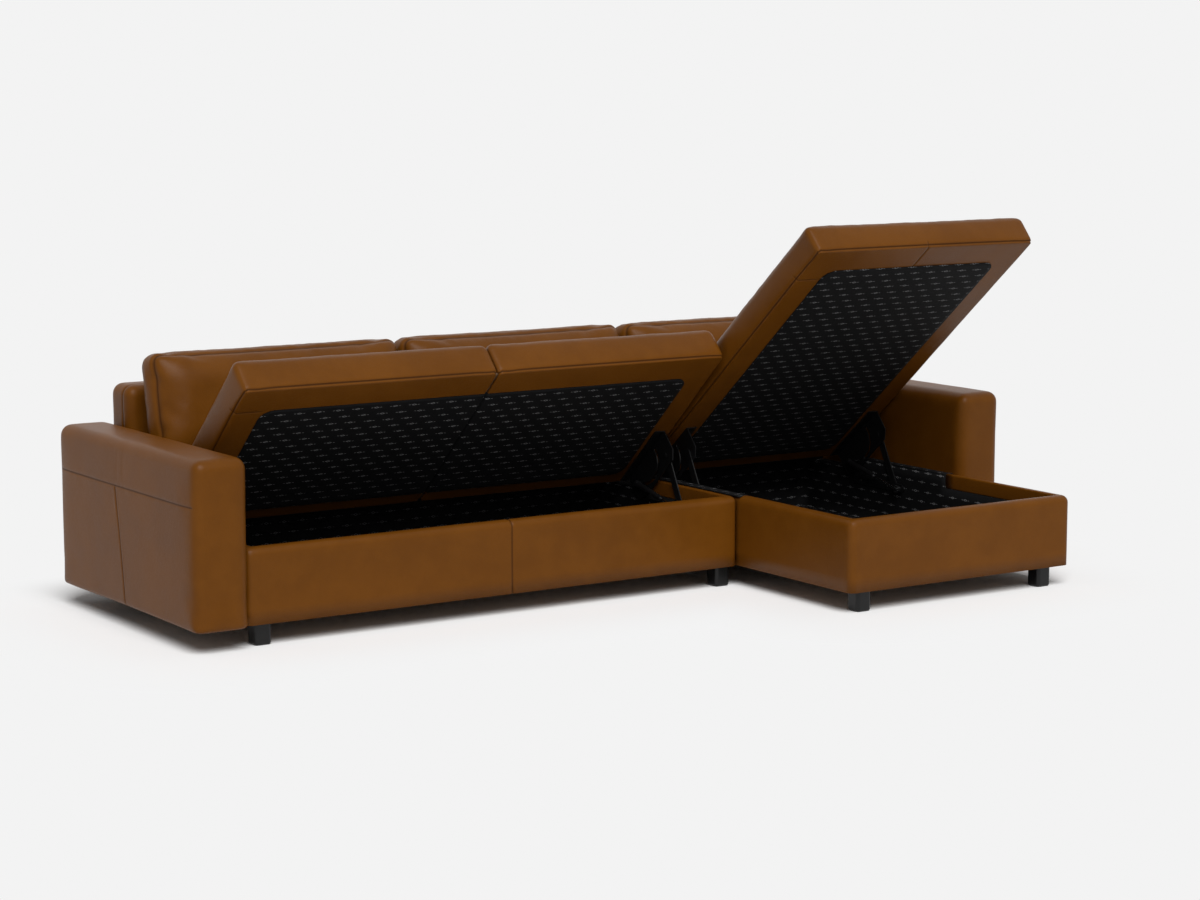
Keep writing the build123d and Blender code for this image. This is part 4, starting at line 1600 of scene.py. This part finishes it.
    def _turn_over(self, bm: bmesh.types.BMesh, module: str, low: Vector, high: Vector) -> float:
        """Carry the lining over the rear shelf and the low ledges beside it.

        Args:
            bm: The lining so far.
            module: The box's module.
            low: The lining's lowest corner.
            high: Its highest corner.

        Returns:
            The length of cloth over the shelf.
        """
        near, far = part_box(f"{module}_deck_board")
        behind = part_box(f"{module}_rear_board")[1].y
        level = [e for e in bm.edges if e.is_boundary and lies_at(e, 2, self.notch_z)]
        for side, shift in ((low.x, near.x - low.x), (high.x, far.x - high.x)):
            ledge = [e for e in level if lies_at(e, 0, side)]
            self._draw_out(bm, ledge, Vector((shift, 0.0, 0.0004)))
        edge = [e for e in level if lies_at(e, 1, high.y)]
        path = (
            Vector((0.0, near.y - self.lift - high.y, -self.lift)),
            Vector((0.0, 0.0, far.z - near.z + 2 * self.lift)),
            Vector((0.0, behind - near.y + self.lift, 0.0)),
        )
        for step in path:
            edge, moved = self._draw_out(bm, edge, step)
            for vertex in moved:
                if vertex.co.x < low.x + SAME:
                    vertex.co.x = near.x - self.ease
                elif vertex.co.x > high.x - SAME:
                    vertex.co.x = far.x + self.ease
        return sum(step.length for step in path)

    def _draw_out(
        self, bm: bmesh.types.BMesh, edges: list[bmesh.types.BMEdge], step: Vector
    ) -> tuple[list[bmesh.types.BMEdge], list[bmesh.types.BMVert]]:
        """Extrude edges.

        Args:
            bm: The mesh.
            edges: Its edges to extrude.
            step: How far they go.

        Returns:
            The new edges and vertices.
        """
        made = bmesh.ops.extrude_edge_only(bm, edges=edges)["geom"]
        moved = [v for v in made if isinstance(v, bmesh.types.BMVert)]
        bmesh.ops.translate(bm, vec=step, verts=moved)
        fresh = set(moved)
        drawn = [e for e in made if isinstance(e, bmesh.types.BMEdge) and all(v in fresh for v in e.verts)]
        return drawn, moved

    def _rim_strips(self, module: str, outer: Vector, edge: Vector) -> None:
        """The cloth over the two side rims behind the hide.

        Args:
            module: The box's module.
            outer: The box's lowest corner.
            edge: Its highest corner.
        """
        steps = (0.006, 0.03, 0.003)
        for side, x0 in (("left", outer.x + self.ease), ("right", edge.x - self.wall - self.ease)):
            low = Vector((x0, edge.y + 0.0005, edge.z - self.strip))
            high = Vector((x0 + self.wall, self.notch_y, edge.z - 0.0004))
            bm = gridded_block([stations(low[n], high[n], steps[n], 0.0015) for n in range(3)])
            for vertex in bm.verts:
                ripple = (noise.noise(vertex.co * 9.0) + 1.0) * 0.0004
                roll = 0.0016 * (2 * abs(vertex.co.x - (low.x + high.x) / 2) / self.wall) ** 6
                vertex.co.z -= (ripple + roll) * (vertex.co.z - low.z) / self.strip
            piece = new_piece(f"{module}_rim_cloth_{side}", bm, self.finishes.boxed_cloth)
            settle(piece, BASE, "lining_cloth")

    def build(self) -> None:
        """Cover and line both boxes."""
        for module in ("seat", "chaise"):
            self._hide(module)
            self._lining(module)


@dataclass(frozen=True)
class Stage:
    """Floor, light and camera.

    Attributes:
        eye: Where the camera stands.
        yaw: How far it is turned to the right, in degrees.
        pitch: How far it is tilted up, in degrees.
        lens: Its focal length in millimetres, on a sensor of the given width.
        backdrop: How bright the backdrop is.
        sky: How bright the light from all round is.
        sun_power: Strength of the broad light, with its aim and its angle in degrees.
        floor_white: How white the floor is.
        fade: Over what distance from the sofa the floor goes over into the backdrop.
        footprint: The sofa's two rectangles on the floor.
    """

    eye: tuple[float, float, float] = (-4.9366, -7.4700, 1.7326)
    yaw: float = 33.540
    pitch: float = -8.069
    lens: float = 83.83
    sensor: float = 36.0
    backdrop: float = 0.896
    sky: float = 0.19
    sun_power: float = 3.20
    sun_aim: tuple[float, float, float] = (0.22, 0.57, -0.69)
    sun_angle: float = 40.0
    floor_white: float = 0.95
    floor_size: float = 90.0
    fade: tuple[float, float] = (0.02, 0.45)
    footprint: tuple[tuple[float, ...], ...] = ((-1.53, -0.23, 1.53, 0.78), (0.43, -0.78, 1.35, 0.78))

    def _camera(self) -> None:
        """The camera at the photograph's place."""
        data = bpy.data.cameras.new("camera")
        data.lens = self.lens
        data.sensor_width = self.sensor
        data.sensor_fit = "HORIZONTAL"
        data.clip_end = 200.0
        camera = bpy.data.objects.new("camera", data)
        yaw, pitch = radians(self.yaw), radians(self.pitch)
        look = Vector((sin(yaw) * cos(pitch), cos(yaw) * cos(pitch), sin(pitch)))
        camera.location = self.eye
        camera.rotation_euler = look.to_track_quat("-Z", "Y").to_euler()
        bpy.context.scene.collection.objects.link(camera)
        bpy.context.scene.camera = camera

    def _world(self) -> None:
        """Soft light from all round, and the plain backdrop behind the sofa."""
        world = bpy.data.worlds.new("studio")
        world.use_nodes = True
        kit = Nodes(world.node_tree)
        light = kit.tree.nodes["Background"]
        kit.feed(light.inputs["Color"], (1.0, 1.0, 1.0, 1.0))
        kit.feed(light.inputs["Strength"], self.sky)
        plain = kit.node("ShaderNodeBackground", {"Color": (*[self.backdrop] * 3, 1.0)})[0]
        kit.show("World Output", kit.seen(), Sock(kit, light.outputs[0]), plain)
        bpy.context.scene.world = world

    def _floor(self) -> None:
        """A wide pale floor that keeps the sofa's shadow and fades into the backdrop."""
        bm = bmesh.new()
        bmesh.ops.create_grid(bm, x_segments=1, y_segments=1, size=self.floor_size)
        kit = Shader("floor")
        kit.set(base_color=(*[self.floor_white] * 3, 1.0), roughness=1.0, specular_ior_level=0.0)
        x, y, _ = kit.axes(kit.place())
        far = []
        for x0, y0, x1, y1 in self.footprint:
            dx = (abs(x - (x0 + x1) / 2) - (x1 - x0) / 2).math("MAXIMUM", 0.0)
            dy = (abs(y - (y0 + y1) / 2) - (y1 - y0) / 2).math("MAXIMUM", 0.0)
            far.append((dx * dx + dy * dy).math("SQRT"))
        away = far[0].math("MINIMUM", far[1])
        glow = kit.node("ShaderNodeEmission", {0: (*[self.backdrop] * 3, 1.0)})[0]
        lit = Sock(kit, kit.principled.outputs[0])
        kit.show("Material Output", away.ramp(*self.fade) * kit.seen(), lit, glow)
        new_piece("floor", bm, kit.material)

    def _sun(self) -> None:
        """A broad even light from the front left."""
        data = bpy.data.lights.new("sun", "SUN")
        data.energy = self.sun_power
        data.angle = radians(self.sun_angle)
        sun = bpy.data.objects.new("sun", data)
        sun.rotation_euler = Vector(self.sun_aim).to_track_quat("-Z", "Y").to_euler()
        bpy.context.scene.collection.objects.link(sun)

    def build(self) -> None:
        """Set the stage."""
        bpy.context.scene.view_settings.view_transform = "Standard"
        self._camera()
        self._world()
        self._floor()
        self._sun()


def main() -> None:
    """Dress the sofa, piece by piece."""
    logging.basicConfig(level=logging.INFO)
    Stage().build()
    finishes = Finishes()
    finishes.dress_nodes()
    for assembly in (Lids, BackCushions, Arms, BackRests, StorageBoxes):
        assembly(finishes).build()


if __name__ == "__main__":
    main()
